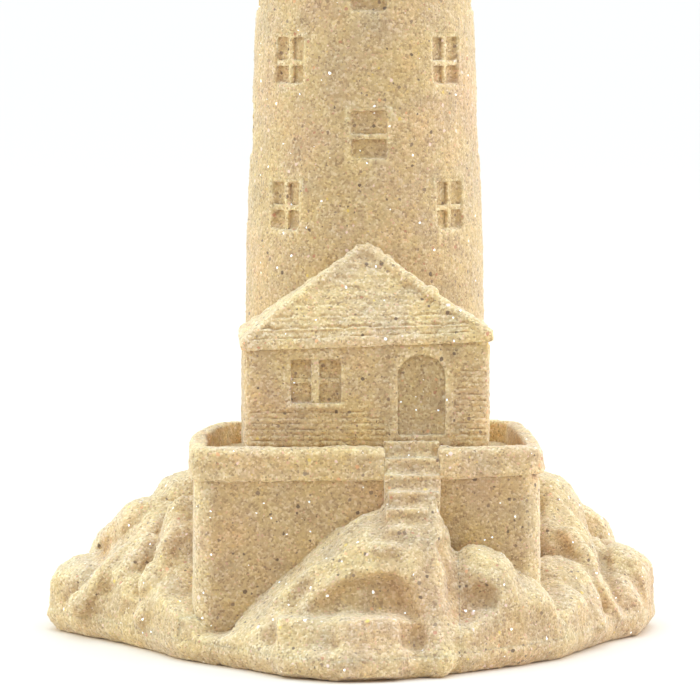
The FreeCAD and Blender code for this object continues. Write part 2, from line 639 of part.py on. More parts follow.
def roof_block():
    """Hipped roof in overlapping courses, its peak against the tower."""
    left = "-dim.cottage_width / 2 - dim.lean_left - dim.eave_overhang"
    right = "dim.cottage_width / 2 - dim.lean_left + dim.eave_overhang"
    front = "dim.cottage_front + dim.eave_overhang"
    peak_left = "-dim.lean_left - dim.roof_knob / 2"
    peak_right = "-dim.lean_left + dim.roof_knob / 2"
    peak_front = "dim.tower_foot_radius - dim.roof_knob / 2"
    peak_back = "dim.tower_foot_radius - dim.roof_knob"
    fascia = doc.addObject("Part::Box", "Fascia")
    fascia.setExpression("Length", "%s - (%s)" % (right, left))
    fascia.setExpression("Width", front)
    fascia.setExpression("Height", "dim.fascia_height")
    fascia.setExpression("Placement.Base.x", left)
    fascia.setExpression("Placement.Base.y", "-(%s)" % front)
    fascia.setExpression("Placement.Base.z", EAVE)
    courses = [fascia]
    for number in range(COURSE_COUNT):
        low = "%d / %d" % (number, COURSE_COUNT)
        high = "%d / %d" % (number + 1, COURSE_COUNT)
        course = doc.addObject("Part::Wedge", "RoofCourse%d" % number)
        course.Placement.Rotation = FreeCAD.Rotation(FreeCAD.Vector(1, 0, 0), 90)
        course.setExpression("Placement.Base.z", "%s + dim.fascia_height" % EAVE)
        step = "dim.roof_course" if number else "0"
        course.setExpression("Ymin", "dim.roof_rise * %s" % low)
        course.setExpression("Ymax", "dim.roof_rise * %s" % high)
        course.setExpression("Xmin", "%s - %s" % (between(left, peak_left, low), step))
        course.setExpression("Xmax", "%s + %s" % (between(right, peak_right, low), step))
        course.setExpression("X2min", between(left, peak_left, high))
        course.setExpression("X2max", between(right, peak_right, high))
        course.setExpression("Zmin", between("0", peak_back, low))
        course.setExpression("Zmax", "%s + %s" % (between(front, peak_front, low), step))
        course.setExpression("Z2min", between("0", peak_back, high))
        course.setExpression("Z2max", between(front, peak_front, high))
        courses.append(course)
    roof = doc.addObject("Part::MultiFuse", "RoofCourses")
    roof.Shapes = courses
    doc.recompute()
    return roof


def light_middle(row):
    """Middle of a row of tower windows above the terrace floor."""
    reach = "(dim.tower_height - dim.first_light - dim.light_height - dim.last_light)"
    return "(dim.first_light + dim.light_height / 2 + %s * %d / %d)" % (reach, row, LIGHT_ROWS - 1)


def light_floor(row):
    """Distance of the recess floor of a row of tower windows from the tower's axis."""
    share = "(%s / dim.tower_height)" % light_middle(row)
    radius = between("dim.tower_foot_radius", "dim.tower_top_radius", share)
    bow = "4 * dim.tower_bulge * %s * (1 - %s)" % (share, share)
    return "(%s + %s - dim.light_depth)" % (radius, bow)


def tower_shaft():
    """Round tower with a bowed taper and five staggered rows of window recesses."""
    body = new_body("tower_shaft")
    profile = new_sketch(body, "TowerProfile", "XZ_Plane")
    foot = ("dim.tower_foot_radius", "dim.terrace_level")
    top = ("dim.tower_top_radius", TOWER_TOP)
    side = bellied(foot, top, "dim.tower_bulge", TOWER_BANDS)
    add_outline(profile, [("0", foot[1]), foot] + side + [top, ("0", top[1])])
    revolve(body, profile, "TowerSolid")
    for row in range(LIGHT_ROWS):
        recess = new_sketch(body, "LightRow%d" % row, "XZ_Plane", light_floor(row))
        turn = 0 if row % 2 else 180 / LIGHTS_PER_ROW
        middle = "dim.terrace_level + %s" % light_middle(row)
        add_rectangle(
            recess, "-dim.light_width / 2", "dim.light_width / 2",
            "%s - dim.light_height / 2" % middle, "%s + dim.light_height / 2" % middle)
        if turn:
            swing = math.radians(turn)
            recess.AttachmentOffset.Rotation = FreeCAD.Rotation(FreeCAD.Vector(0, 1, 0), turn)
            floor = light_floor(row)
            recess.setExpression("AttachmentOffset.Base.x", "%s * %.6f" % (floor, math.sin(swing)))
            recess.setExpression("AttachmentOffset.Base.z", "%s * %.6f" % (floor, math.cos(swing)))
        light = pocket(body, recess, "LightCut%d" % row, "dim.light_depth + dim.overrun * 2", True)
        ring_pattern(body, light, "LightRing%d" % row, LIGHTS_PER_ROW)
    return body


def tower_windows():
    """A sash in each recess of the tower, named by its row and by the side that it faces."""
    sashes = []
    for columns in (2, 1):
        sash = new_body("tower_sash_%d" % columns)
        glazing(
            sash, "TowerSash%d" % columns,
            "-dim.light_width / 2 + dim.clearance", "dim.light_width / 2 - dim.clearance",
            "-dim.light_height / 2 + dim.clearance", "dim.light_height / 2 - dim.clearance",
            columns, 2, "0")
        sashes.append(sash)
    square_sides = ["front", "right", "back", "left"]
    corner_sides = ["front_right", "back_right", "back_left", "front_left"]
    pieces = []
    for row in range(LIGHT_ROWS):
        sides = square_sides if row % 2 else corner_sides
        turn = 0 if row % 2 else 180 / LIGHTS_PER_ROW
        reach = value(light_floor(row))
        height = value("dim.terrace_level + %s" % light_middle(row))
        for number, side in enumerate(sides):
            piece = doc.addObject("Part::Feature", "tower_window_%d_%s" % (row + 1, side))
            piece.Label = piece.Name
            piece.Shape = sashes[row % 2].Shape.copy()
            spin = FreeCAD.Rotation(FreeCAD.Vector(0, 0, 1), turn + number * 360 / LIGHTS_PER_ROW)
            place = spin.multVec(FreeCAD.Vector(0, -reach, height))
            piece.Placement = FreeCAD.Placement(place, spin)
            pieces.append(piece)
    return pieces


def many_sided(radius, count):
    """Corners of an outline that turns one of its flat sides to the front."""
    corners = []
    for number in range(count):
        angle = math.pi * (2 * number + 1) / count
        x_share = math.cos(angle)
        y_share = math.sin(angle)
        corners.append(("(%s) * %.6f" % (radius, x_share), "(%s) * %.6f" % (radius, y_share)))
    return corners


def many_sided_solid(label, levels, count):
    """Flat-sided piece about the tower's axis, from the radius and the height of each level."""
    rings = []
    for radius, height in levels:
        rings.append([vector(x, y, height) for x, y in many_sided(radius, count)])
    return feature_from(label, faceted(rings).removeSplitter())


def gallery_corbel():
    """Hollow flare from the tower out to the deck."""
    collar = ("dim.tower_top_radius + dim.deck_inset", TOWER_TOP)
    lip = ("dim.gallery_radius - dim.deck_inset", DECK_FOOT)
    flare = bellied(collar, lip, "-dim.deck_thick / 2", DOME_BANDS)
    return many_sided_solid("gallery_corbel", [collar] + flare + [lip], PANEL_COUNT)


def gallery_deck():
    body = new_body("gallery_deck")
    plan = new_sketch(body, "DeckPlan", "XY_Plane", DECK_FOOT)
    add_outline(plan, many_sided("dim.gallery_radius", PANEL_COUNT))
    pad(body, plan, "Deck", "dim.deck_thick")
    return body


def gallery_parapet():
    """Low wall round the gallery with a sunk panel in each side."""
    body = new_body("gallery_parapet")
    outer = "(dim.gallery_radius - dim.deck_inset)"
    plan = new_sketch(body, "ParapetPlan", "XY_Plane", DECK_TOP)
    add_outline(plan, many_sided(outer, PANEL_COUNT))
    add_outline(plan, many_sided("%s - dim.gallery_wall" % outer, PANEL_COUNT))
    pad(body, plan, "ParapetWall", "dim.gallery_wall_height")
    face = "%s * %.6f" % (outer, math.cos(math.pi / PANEL_COUNT))
    panel = new_sketch(body, "ParapetPanel", "XZ_Plane", "%s - dim.panel_depth" % face)
    half = "%s * %.6f" % (outer, math.sin(math.pi / PANEL_COUNT) * PANEL_WIDTH_SHARE)
    low = "%s + dim.gallery_wall_height * %s" % (DECK_TOP, PANEL_FOOT_SHARE)
    high = "%s + dim.gallery_wall_height * (1 - %s)" % (DECK_TOP, PANEL_FOOT_SHARE)
    add_rectangle(panel, "-" + half, half, low, high)
    sunk = pocket(body, panel, "PanelCut", "dim.panel_depth + dim.overrun", True)
    ring_pattern(body, sunk, "PanelRing", PANEL_COUNT)
    return body


def lantern_room():
    """Eight-sided room with two panes, one over the other, in each side."""
    body = new_body("lantern_room")
    plan = new_sketch(body, "LanternPlan", "XY_Plane", DECK_TOP)
    add_outline(plan, many_sided("dim.lantern_radius", LANTERN_SIDES))
    pad(body, plan, "LanternBlock", "dim.lantern_height")
    apothem_share = math.cos(math.pi / LANTERN_SIDES)
    side_share = math.sin(math.pi / LANTERN_SIDES)
    face = "dim.lantern_radius * %.6f" % apothem_share
    half = "(dim.lantern_radius * %.6f - dim.bar_width)" % side_share
    panes = new_sketch(body, "PaneOutline", "XZ_Plane", "%s - dim.pane_depth" % face)
    foot = "(%s + dim.lantern_base)" % DECK_TOP
    head = "(%s - dim.bar_width * 3 / 2)" % LANTERN_TOP
    middle = between(foot, head, "1 / 2")
    add_rectangle(panes, "-" + half, half, foot, "%s - dim.bar_width / 2" % middle)
    add_rectangle(panes, "-" + half, half, "%s + dim.bar_width / 2" % middle, head)
    sunk = pocket(body, panes, "PaneCut", "dim.pane_depth + dim.overrun", True)
    ring_pattern(body, sunk, "PaneRing", LANTERN_SIDES)
    return body


def lantern_roof():
    """Roof with as many sides as the lantern: an upright edge, and two slopes up to the finial."""
    foot = ("dim.roof_radius", LANTERN_TOP)
    eaves = ("dim.roof_radius", "%s + dim.roof_edge" % LANTERN_TOP)
    neck = ("dim.finial_stem", FINIAL_FOOT)
    slope = bellied(eaves, neck, "dim.roof_edge", DOME_BANDS)
    return many_sided_solid("lantern_roof", [foot, eaves] + slope + [neck], LANTERN_SIDES)


def finial():
    """Stem, ball and point."""
    ball_foot = ("dim.finial_stem", "%s + dim.finial_stem" % FINIAL_FOOT)
    ball_top = ("dim.finial_stem / 2", "%s + dim.finial_radius * 2" % ball_foot[1])
    ball = bellied(ball_foot, ball_top, "dim.finial_radius - dim.finial_stem * 3 / 4", BALL_BANDS)
    tip = ("dim.finial_stem / 4", "%s + dim.finial_height" % FINIAL_FOOT)
    levels = [("dim.finial_stem", FINIAL_FOOT), ball_foot] + ball + [ball_top, tip]
    return many_sided_solid("finial", levels, LANTERN_SIDES)


base = rock_base()
walls = terrace_block()
tower = tower_shaft()
cottage = cut("cottage_walls", cottage_block(), [tower])
roof = cut("cottage_roof", roof_block(), [tower])
parapet = cut("terrace_parapet", coping(), [tower])
steps = cut("stair_flight", stair(), [walls])
wall_half = value("dim.terrace_width / 2")
lean = value("dim.lean_left")
side_reach = value("dim.base_width / 2 - dim.terrace_width / 2")
half_depth = value("dim.base_depth / 2")
left_origin = (-wall_half - lean, 0)
right_origin = (wall_half - lean, 0)
front_origin = (-lean, -value("dim.terrace_front"))
rear_origin = (-lean, value("dim.terrace_back"))
front_span = (wall_half, -value("dim.base_depth / 2 - dim.terrace_front"))
rear_span = (wall_half, value("dim.base_depth / 2 - dim.terrace_back"))
left_rocks = rocks(
    "left_rocks", LEFT_ROCK_SHARES, [], left_origin, (-side_reach, half_depth), [walls, parapet])
right_rocks = rocks(
    "right_rocks", RIGHT_ROCK_SHARES, [], right_origin, (side_reach, half_depth), [walls, parapet])
stair_rocks = rocks(
    "stair_rocks", STAIR_ROCK_SHARES, STAIR_HOLLOW_SHARES, front_origin, front_span,
    [walls, parapet, steps, left_rocks, right_rocks])
front_rocks = rocks(
    "front_rocks", FRONT_ROCK_SHARES, FRONT_HOLLOW_SHARES, front_origin, front_span,
    [walls, parapet, steps, stair_rocks, left_rocks, right_rocks])
rear_rocks = rocks(
    "rear_rocks", REAR_ROCK_SHARES, [], rear_origin, rear_span,
    [walls, parapet, left_rocks, right_rocks])

nodes = [
    base, left_rocks, right_rocks, front_rocks, stair_rocks, rear_rocks, walls, parapet, steps,
    cottage, cottage_door(), cottage_window(), roof, tower, gallery_corbel(), gallery_deck(),
    gallery_parapet(), lantern_room(), lantern_roof(), finial(),
] + tower_windows()

doc.recompute()
for item in doc.Objects:
    if "Invalid" in item.State or "Error" in item.State:
        raise ValueError("%s failed: %s" % (item.Name, item.State))

os.makedirs("parts", exist_ok=True)
for node in nodes:
    shape = node.Shape
    if shape.isNull() or not shape.isValid() or len(shape.Solids) != 1:
        raise ValueError("%s has no valid single solid" % node.Label)
    shape.exportStep("parts/%s.step" % node.Label)
    print("%-26s %9.1f mm3, %3d faces" % (node.Label, shape.Volume, len(shape.Faces)))
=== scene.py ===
# %% [markdown]
# # A lighthouse cast in sand
# The object is a tabletop lighthouse on a rock, cast in one go from bonded sand: a cottage on a walled
# terrace, a round tower behind it, and a gallery and lantern on top. The frame holds its forms at real
# size as plain solids. A sand material on them would not do: cast sand has no sharp edge and no flat
# face, which shows most along the outline. So each form is cast again here: its solids are joined into
# one skin, worn and roughened, and only then coloured.

# %% Load the frame
import math

import bpy
import numpy as np
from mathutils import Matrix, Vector


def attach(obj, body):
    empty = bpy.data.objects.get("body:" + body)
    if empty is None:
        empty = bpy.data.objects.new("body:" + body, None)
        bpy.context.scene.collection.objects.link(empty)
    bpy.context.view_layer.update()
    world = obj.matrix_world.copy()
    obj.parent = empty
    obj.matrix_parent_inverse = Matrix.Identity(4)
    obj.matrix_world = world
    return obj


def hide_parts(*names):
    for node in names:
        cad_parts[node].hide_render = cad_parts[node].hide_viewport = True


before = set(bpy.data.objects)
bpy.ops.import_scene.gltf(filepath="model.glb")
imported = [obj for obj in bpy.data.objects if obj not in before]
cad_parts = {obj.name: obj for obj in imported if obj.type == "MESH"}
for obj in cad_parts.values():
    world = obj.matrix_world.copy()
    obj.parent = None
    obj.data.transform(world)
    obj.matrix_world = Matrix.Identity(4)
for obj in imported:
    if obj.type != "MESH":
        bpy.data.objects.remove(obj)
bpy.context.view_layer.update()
MM = 0.001

# %% [markdown]
# ## Camera
# The photograph looks slightly down and slightly from the left, through a long lens that keeps upright
# edges almost parallel. A camera could be aimed by eye. Here its distance, height and angles are numbers
# fitted to the photograph, so the view is the same in every run.

# %% Camera
CAMERA_DISTANCE = 675 * MM
CAMERA_HEIGHT = 104.6 * MM
CAMERA_ASIDE = -2.2 * MM
CAMERA_AZIMUTH = math.radians(-2.0)
CAMERA_PITCH = math.radians(5.27)
FOCAL_PIXELS = 4510
IMAGE_PIXELS = 700
SENSOR = 36
FARTHEST = 50


def add_camera():
    """Camera at the place from which the photograph was taken."""
    bpy.ops.object.camera_add()
    camera = bpy.context.active_object
    camera.name = "photo_camera"
    forward = Vector((-math.sin(CAMERA_AZIMUTH), math.cos(CAMERA_AZIMUTH), 0))
    right = Vector((math.cos(CAMERA_AZIMUTH), math.sin(CAMERA_AZIMUTH), 0))
    height = Vector((0, 0, CAMERA_HEIGHT))
    camera.location = height - forward * CAMERA_DISTANCE + right * CAMERA_ASIDE
    camera.rotation_euler = (math.pi / 2 - CAMERA_PITCH, 0, CAMERA_AZIMUTH)
    camera.data.sensor_width = SENSOR
    camera.data.lens = FOCAL_PIXELS / IMAGE_PIXELS * SENSOR
    camera.data.clip_end = FARTHEST
    bpy.context.scene.camera = camera
    print("lens in mm:", round(camera.data.lens, 1))


add_camera()

# %% [markdown]
# ## Floor
# The figure stands on white paper. A pure white plane would be simplest, but a warmer, darker one lets
# the cool light from above come out as white, and warms the foot of the rocks.

# %% Floor
FLOOR_SIZE = 30
FLOOR_COLOUR = (0.825, 0.725, 0.615, 1)
FLOOR_ROUGHNESS = 0.7


def plain_material(name, colour, roughness):
    material = bpy.data.materials.new(name)
    material.use_nodes = True
    shader = material.node_tree.nodes["Principled BSDF"]
    shader.inputs["Base Color"].default_value = colour
    shader.inputs["Roughness"].default_value = roughness
    return material


def add_floor():
    """Wide plane that belongs to the stage and not to the object."""
    bpy.ops.mesh.primitive_plane_add(size=FLOOR_SIZE)
    floor = bpy.context.active_object
    floor.name = "floor"
    floor.data.materials.append(plain_material("floor_white", FLOOR_COLOUR, FLOOR_ROUGHNESS))
    print("floor:", floor.dimensions[:2])


add_floor()

# %% [markdown]
# ## Light
# The photograph was lit in a light tent: nothing throws a hard shadow, and upright faces that look at
# the camera are the darkest. One area lamp would throw a shadow. So a white world, a very wide sun as
# its cool ceiling and a soft box at each side, a little behind the figure, copy the tent.

# %% Tent and ceiling
TENT_COLOUR = (1.0, 1.0, 1.0, 1)
TENT_STRENGTH = 0.72
SKY_COLOUR = (0.54, 0.76, 1.0)
SKY_STRENGTH = 3.0
SKY_ANGLE = math.radians(80)
SKY_TURN = (math.radians(8), math.radians(-5), 0)


def add_tent():
    world = bpy.data.worlds.new("light_tent")
    world.use_nodes = True
    background = world.node_tree.nodes["Background"]
    background.inputs["Color"].default_value = TENT_COLOUR
    background.inputs["Strength"].default_value = TENT_STRENGTH
    bpy.context.scene.world = world


def add_sky():
    """The light of the tent's ceiling: one wide soft disc above and a little in front."""
    bpy.ops.object.light_add(type="SUN", rotation=SKY_TURN)
    light = bpy.context.active_object
    light.name = "ceiling_light"
    light.data.angle = SKY_ANGLE
    light.data.energy = SKY_STRENGTH
    light.data.color = SKY_COLOUR
    print(light.name, "of strength", SKY_STRENGTH)


add_tent()
add_sky()
bpy.context.scene.view_settings.view_transform = "Standard"

# %% Soft boxes
BOX_AIM = (0, 0, 0.06)
SOFTBOXES = [
    ("left_box", (-0.60, 0.16, 0.20), 0.6, 3.0, (0.86, 1.0, 0.88)),
    ("right_box", (0.60, 0.14, 0.22), 0.6, 4.0, (0.88, 0.97, 1.0)),
]


def add_softbox(name, place, size, power, colour):
    """Square lamp that looks at the lower part of the tower."""
    bpy.ops.object.light_add(type="AREA", location=place)
    light = bpy.context.active_object
    light.name = name
    light.data.size = size
    light.data.energy = power
    light.data.color = colour
    aim = Vector(BOX_AIM) - Vector(place)
    light.rotation_euler = aim.to_track_quat("-Z", "Y").to_euler()
    print(name, "at", place)


for row in SOFTBOXES:
    add_softbox(*row)

# %% [markdown]
# ## Small helpers for materials
# The sand is a long chain of nodes. It could be wired by hand in the shader editor; in a script, a few
# helpers that add one node, set it and link it keep the chain readable.

# %% Helpers that add nodes
def add_node(tree, kind, place, **values):
    """New node at a place in the editor, with its settings."""
    node = tree.nodes.new(kind)
    node.location = place
    for name, value in values.items():
        setattr(node, name, value)
    return node


def ramp(tree, place, stops, mode="LINEAR"):
    """Colour ramp from stops of position and colour."""
    node = add_node(tree, "ShaderNodeValToRGB", place)
    node.color_ramp.interpolation = mode
    elements = node.color_ramp.elements
    while len(elements) > 1:
        elements.remove(elements[-1])
    elements[0].position = stops[0][0]
    elements[0].color = stops[0][1]
    for position, colour in stops[1:]:
        elements.new(position).color = colour
    return node


def cells(tree, vector, size, place):
    """Cells of one size in metres, each with a random colour, as grains lie side by side."""
    node = add_node(tree, "ShaderNodeTexVoronoi", place)
    node.inputs["Scale"].default_value = 1 / size
    tree.links.new(vector, node.inputs["Vector"])
    return node


def cloud(tree, vector, size, place, **inputs):
    """Soft noise of one size in metres."""
    node = add_node(tree, "ShaderNodeTexNoise", place)
    node.inputs["Scale"].default_value = 1 / size
    for name, value in inputs.items():
        node.inputs[name].default_value = value
    tree.links.new(vector, node.inputs["Vector"])
    return node


print("each helper adds one node")


# %% Helpers that calculate
def dice(tree, source, place):
    """Three random numbers of each cell, taken from its random colour."""
    node = add_node(tree, "ShaderNodeSeparateColor", place)
    tree.links.new(source.outputs["Color"], node.inputs[0])
    return node.outputs


def maths(tree, operation, first, second, place):
    """One calculation with two numbers or sockets."""
    node = add_node(tree, "ShaderNodeMath", place, operation=operation)
    for socket, value in zip(node.inputs, (first, second)):
        if isinstance(value, (int, float)):
            socket.default_value = value
        else:
            tree.links.new(value, socket)
    return node.outputs[0]


def mix(tree, factor, first, second, place, blend="MIX"):
    """Mix of two colours or sockets."""
    node = add_node(tree, "ShaderNodeMix", place, data_type="RGBA", blend_type=blend)
    for socket, value in ((node.inputs[0], factor), (node.inputs[6], first), (node.inputs[7], second)):
        if isinstance(value, (int, float, tuple)):
            socket.default_value = value
        else:
            tree.links.new(value, socket)
    return node.outputs[2]


print("each helper returns sockets to link on")

# %% [markdown]
# ## Grains of the sand
# Bonded sand is made of grains under half a millimetre, each with its own tint. A photograph of sand
# could be wrapped round the figure, but it would stretch and show seams. Voronoi cells of the grains'
# size fill space as grains do, so they need no unwrapping and match on every piece. Two soft noises add
# what grains alone lack: wide stains, and small darker and lighter patches.

# %% Grains
GRAIN = 0.30 * MM
STAIN = 14 * MM
STAIN_DETAIL = 4
PATCH = 4.5 * MM
PATCH_DETAIL = 6
PATCH_ROUGHNESS = 0.62
SAND_TINTS = [
    (0.00, (0.35, 0.215, 0.100, 1)), (0.10, (0.45, 0.285, 0.130, 1)), (0.28, (0.52, 0.347, 0.160, 1)),
    (0.50, (0.555, 0.372, 0.176, 1)), (0.70, (0.585, 0.405, 0.200, 1)), (0.88, (0.69, 0.51, 0.30, 1)),
    (0.96, (0.62, 0.42, 0.17, 1)), (1.00, (0.62, 0.36, 0.22, 1)),
]
STAIN_TINTS = [(0.30, (1.02, 1.0, 0.86, 1)), (0.5, (1, 1, 1, 1)), (0.70, (1.03, 0.96, 0.98, 1))]
PATCH_TINTS = [
    (0.32, (0.86, 0.87, 0.90, 1)), (0.46, (0.98, 0.97, 1.0, 1)), (0.56, (1.02, 1.02, 0.96, 1)),
    (0.68, (1.10, 1.06, 1.02, 1)),
]


def grain_layer(tree, position):
    """Tint and relief of each grain: its middle stands out, and some grains stand higher."""
    grain = cells(tree, position, GRAIN, (-1100, 300))
    numbers = dice(tree, grain, (-900, 380))
    tint = ramp(tree, (-700, 380), SAND_TINTS)
    tree.links.new(numbers[0], tint.inputs[0])
    relief = maths(tree, "SUBTRACT", 1.0, grain.outputs["Distance"], (250, -200))
    relief = maths(tree, "ADD", relief, numbers[1], (450, -200))
    return tint.outputs[0], relief


def stain_layer(tree, position, colour):
    """Wide stains and small patches over the grains."""
    stain = cloud(tree, position, STAIN, (-1100, 0), Detail=STAIN_DETAIL)
    stain_tint = ramp(tree, (-900, 0), STAIN_TINTS)
    tree.links.new(stain.outputs["Fac"], stain_tint.inputs[0])
    colour = mix(tree, 1.0, colour, stain_tint.outputs[0], (-500, 300), "MULTIPLY")
    patch = cloud(tree, position, PATCH, (-1100, 150), Detail=PATCH_DETAIL, Roughness=PATCH_ROUGHNESS)
    patch_tint = ramp(tree, (-900, 200), PATCH_TINTS)
    tree.links.new(patch.outputs["Fac"], patch_tint.inputs[0])
    return mix(tree, 1.0, colour, patch_tint.outputs[0], (-350, 300), "MULTIPLY")


print("grain in mm:", round(GRAIN / MM, 2), "with", len(SAND_TINTS), "tints")

# %% [markdown]
# ## Specks and glints
# Among the grains lie larger dark, brick red, rose and ochre ones, and clear ones that flash in the
# light, drawn here as painted glints: white, smooth and glowing a little. Painting them one by one would
# take days. Larger Voronoi cells do it: one random number of each cell decides if it holds a speck, the
# others how large and of which colour. A little noise bends the position first, so that the specks
# aren't round dots.

# %% Specks
WOBBLE = 0.34 * MM
SPECK = 0.95 * MM
SPECK_CHOICE = 0.62
SPECK_SPREAD = 2.0
SPECK_GROWTH = 0.24
SPECK_LEAST = 0.10
SPECK_COVER = 0.9
SPECK_TINTS = [
    (0.0, (0.15, 0.085, 0.045, 1)), (0.26, (0.27, 0.165, 0.090, 1)), (0.56, (0.48, 0.20, 0.10, 1)),
    (0.70, (0.68, 0.34, 0.15, 1)), (0.82, (0.80, 0.56, 0.44, 1)), (0.94, (0.70, 0.48, 0.11, 1)),
]


def wobbled(tree, position):
    """Position that sways by a third of a millimetre."""
    noise = cloud(tree, position, GRAIN, (-1500, -400))
    shift = add_node(tree, "ShaderNodeVectorMath", (-1300, -400), operation="MULTIPLY_ADD")
    shift.inputs[1].default_value = (WOBBLE, WOBBLE, WOBBLE)
    tree.links.new(noise.outputs["Color"], shift.inputs[0])
    tree.links.new(position, shift.inputs[2])
    return shift.outputs[0]


def speck_layer(tree, position, colour):
    """Coloured grains, most of them small and a few large."""
    speck = cells(tree, position, SPECK, (-1100, -300))
    numbers = dice(tree, speck, (-900, -300))
    chosen = maths(tree, "GREATER_THAN", numbers[0], SPECK_CHOICE, (-700, -200))
    reach = maths(tree, "POWER", numbers[2], SPECK_SPREAD, (-850, -350))
    reach = maths(tree, "MULTIPLY", reach, SPECK_GROWTH, (-700, -350))
    reach = maths(tree, "ADD", reach, SPECK_LEAST, (-550, -350))
    near = maths(tree, "LESS_THAN", speck.outputs["Distance"], reach, (-400, -300))
    mask = maths(tree, "MULTIPLY", chosen, near, (-250, -250))
    tint = ramp(tree, (-700, -500), SPECK_TINTS, "CONSTANT")
    tree.links.new(numbers[1], tint.inputs[0])
    share = maths(tree, "MULTIPLY", mask, SPECK_COVER, (-100, -250))
    return mix(tree, share, colour, tint.outputs[0], (50, 300))


print("speck cells in mm:", round(SPECK / MM, 2), "with", len(SPECK_TINTS), "tints")

# %% Glints
GLINT = 1.1 * MM
GLINT_CHOICE = 0.84
GLINT_WIDTH = 0.20
PAINTED_GLINT_COLOUR = (0.95, 0.95, 0.93, 1)


def painted_glint_layer(tree, position, colour):
    """Painted glints of clear grains: rare, white and smooth."""
    glint = cells(tree, position, GLINT, (-1100, -700))
    numbers = dice(tree, glint, (-900, -700))
    rare = maths(tree, "GREATER_THAN", numbers[0], GLINT_CHOICE, (-700, -650))
    width = maths(tree, "MULTIPLY", numbers[1], GLINT_WIDTH, (-900, -850))
    small = maths(tree, "LESS_THAN", glint.outputs["Distance"], width, (-700, -800))
    mask = maths(tree, "MULTIPLY", rare, small, (-500, -700))
    return mix(tree, mask, colour, PAINTED_GLINT_COLOUR, (250, 300)), mask


print("glint cells in mm:", round(GLINT / MM, 2))

# %% [markdown]
# ## One group for the sand
# All pieces are the same sand, more or less worn, with painted light and painted shade on top. The
# nodes could be copied into each material, but a group holds them once: position, wear with painted
# light, and shade go in; colour, roughness, relief and painted glints come out.

# %% Sand group
SAND_ROUGHNESS = 0.9
GLINT_POLISH = -0.6
OUTPUTS = (("Colour", "Color"), ("Roughness", "Float"), ("Relief", "Float"), ("Painted_glint", "Color"))
BLACK = (0, 0, 0, 1)
WHITE = (1, 1, 1, 1)
# Painted light and shade: high values lighten and cool the sand as if more light fell on it, low ones
# darken it a little as painted shade.
WEAR_AND_LIGHT_TINTS = [
    (0.0, (0.99, 0.97, 0.95, 1)), (0.5, (1, 1, 1, 1)), (1.0, (1.22, 1.32, 1.46, 1)),
]


def sand_group():
    """Colour, roughness, relief and painted glints of bonded sand, from a position in metres."""
    tree = bpy.data.node_groups.new("bonded_sand_grains", "ShaderNodeTree")
    tree.interface.new_socket("Position", in_out="INPUT", socket_type="NodeSocketVector")
    for name in ("Wear", "Shade"):
        tree.interface.new_socket(name, in_out="INPUT", socket_type="NodeSocketFloat")
    for name, kind in OUTPUTS:
        tree.interface.new_socket(name, in_out="OUTPUT", socket_type="NodeSocket" + kind)
    source = add_node(tree, "NodeGroupInput", (-1400, 0))
    result = add_node(tree, "NodeGroupOutput", (900, 0))
    position = source.outputs["Position"]
    colour, relief = grain_layer(tree, position)
    colour = stain_layer(tree, position, colour)
    swaying = wobbled(tree, position)
    colour = speck_layer(tree, swaying, colour)
    colour, painted_glint_mask = painted_glint_layer(tree, swaying, colour)
    # Wear and painted light from the mesh, then each material's shade, which paints the sand lighter for
    # some pieces and darker for others.
    wear_and_light_tint = ramp(tree, (50, 600), WEAR_AND_LIGHT_TINTS)
    tree.links.new(source.outputs["Wear"], wear_and_light_tint.inputs[0])
    colour = mix(tree, 1.0, colour, wear_and_light_tint.outputs[0], (350, 400), "MULTIPLY")
    colour = mix(tree, 1.0, colour, source.outputs["Shade"], (550, 300), "MULTIPLY")
    roughness = maths(tree, "MULTIPLY_ADD", painted_glint_mask, GLINT_POLISH, (250, 0))
    roughness.node.inputs[2].default_value = SAND_ROUGHNESS
    # Painted glints: the clear grains glow a little.
    painted_glow = mix(tree, painted_glint_mask, BLACK, WHITE, (450, -400))
    for value, socket in zip((colour, roughness, relief, painted_glow), result.inputs):
        tree.links.new(value, socket)
    return tree


grains = sand_group()
print("nodes in the sand:", len(grains.nodes))

# %% [markdown]
# ## Sand materials
# The surface is dull, its grains stand out by a tenth of a millimetre, and light that enters it softens
# small shadows. Modelled grains would need millions of faces, so they are a bump, while all larger lumps
# are geometry. Clear grains glow a little as painted glints. The door leaf is darkened by painted shade;
# parapet and roof are lightened by painted light.

# %% Sand materials
BUMP_STRENGTH = 0.7
BUMP_DEPTH = 0.12 * MM
PAINTED_GLOW_STRENGTH = 0.5
SHINE = 0.8
DUST_SHEEN = 0.25
DUST_SHEEN_ROUGHNESS = 0.5
LIGHT_ENTRY = 0.3
LIGHT_REDDENING = (1.0, 0.7, 0.4)
LIGHT_DEPTH = 1.2 * MM


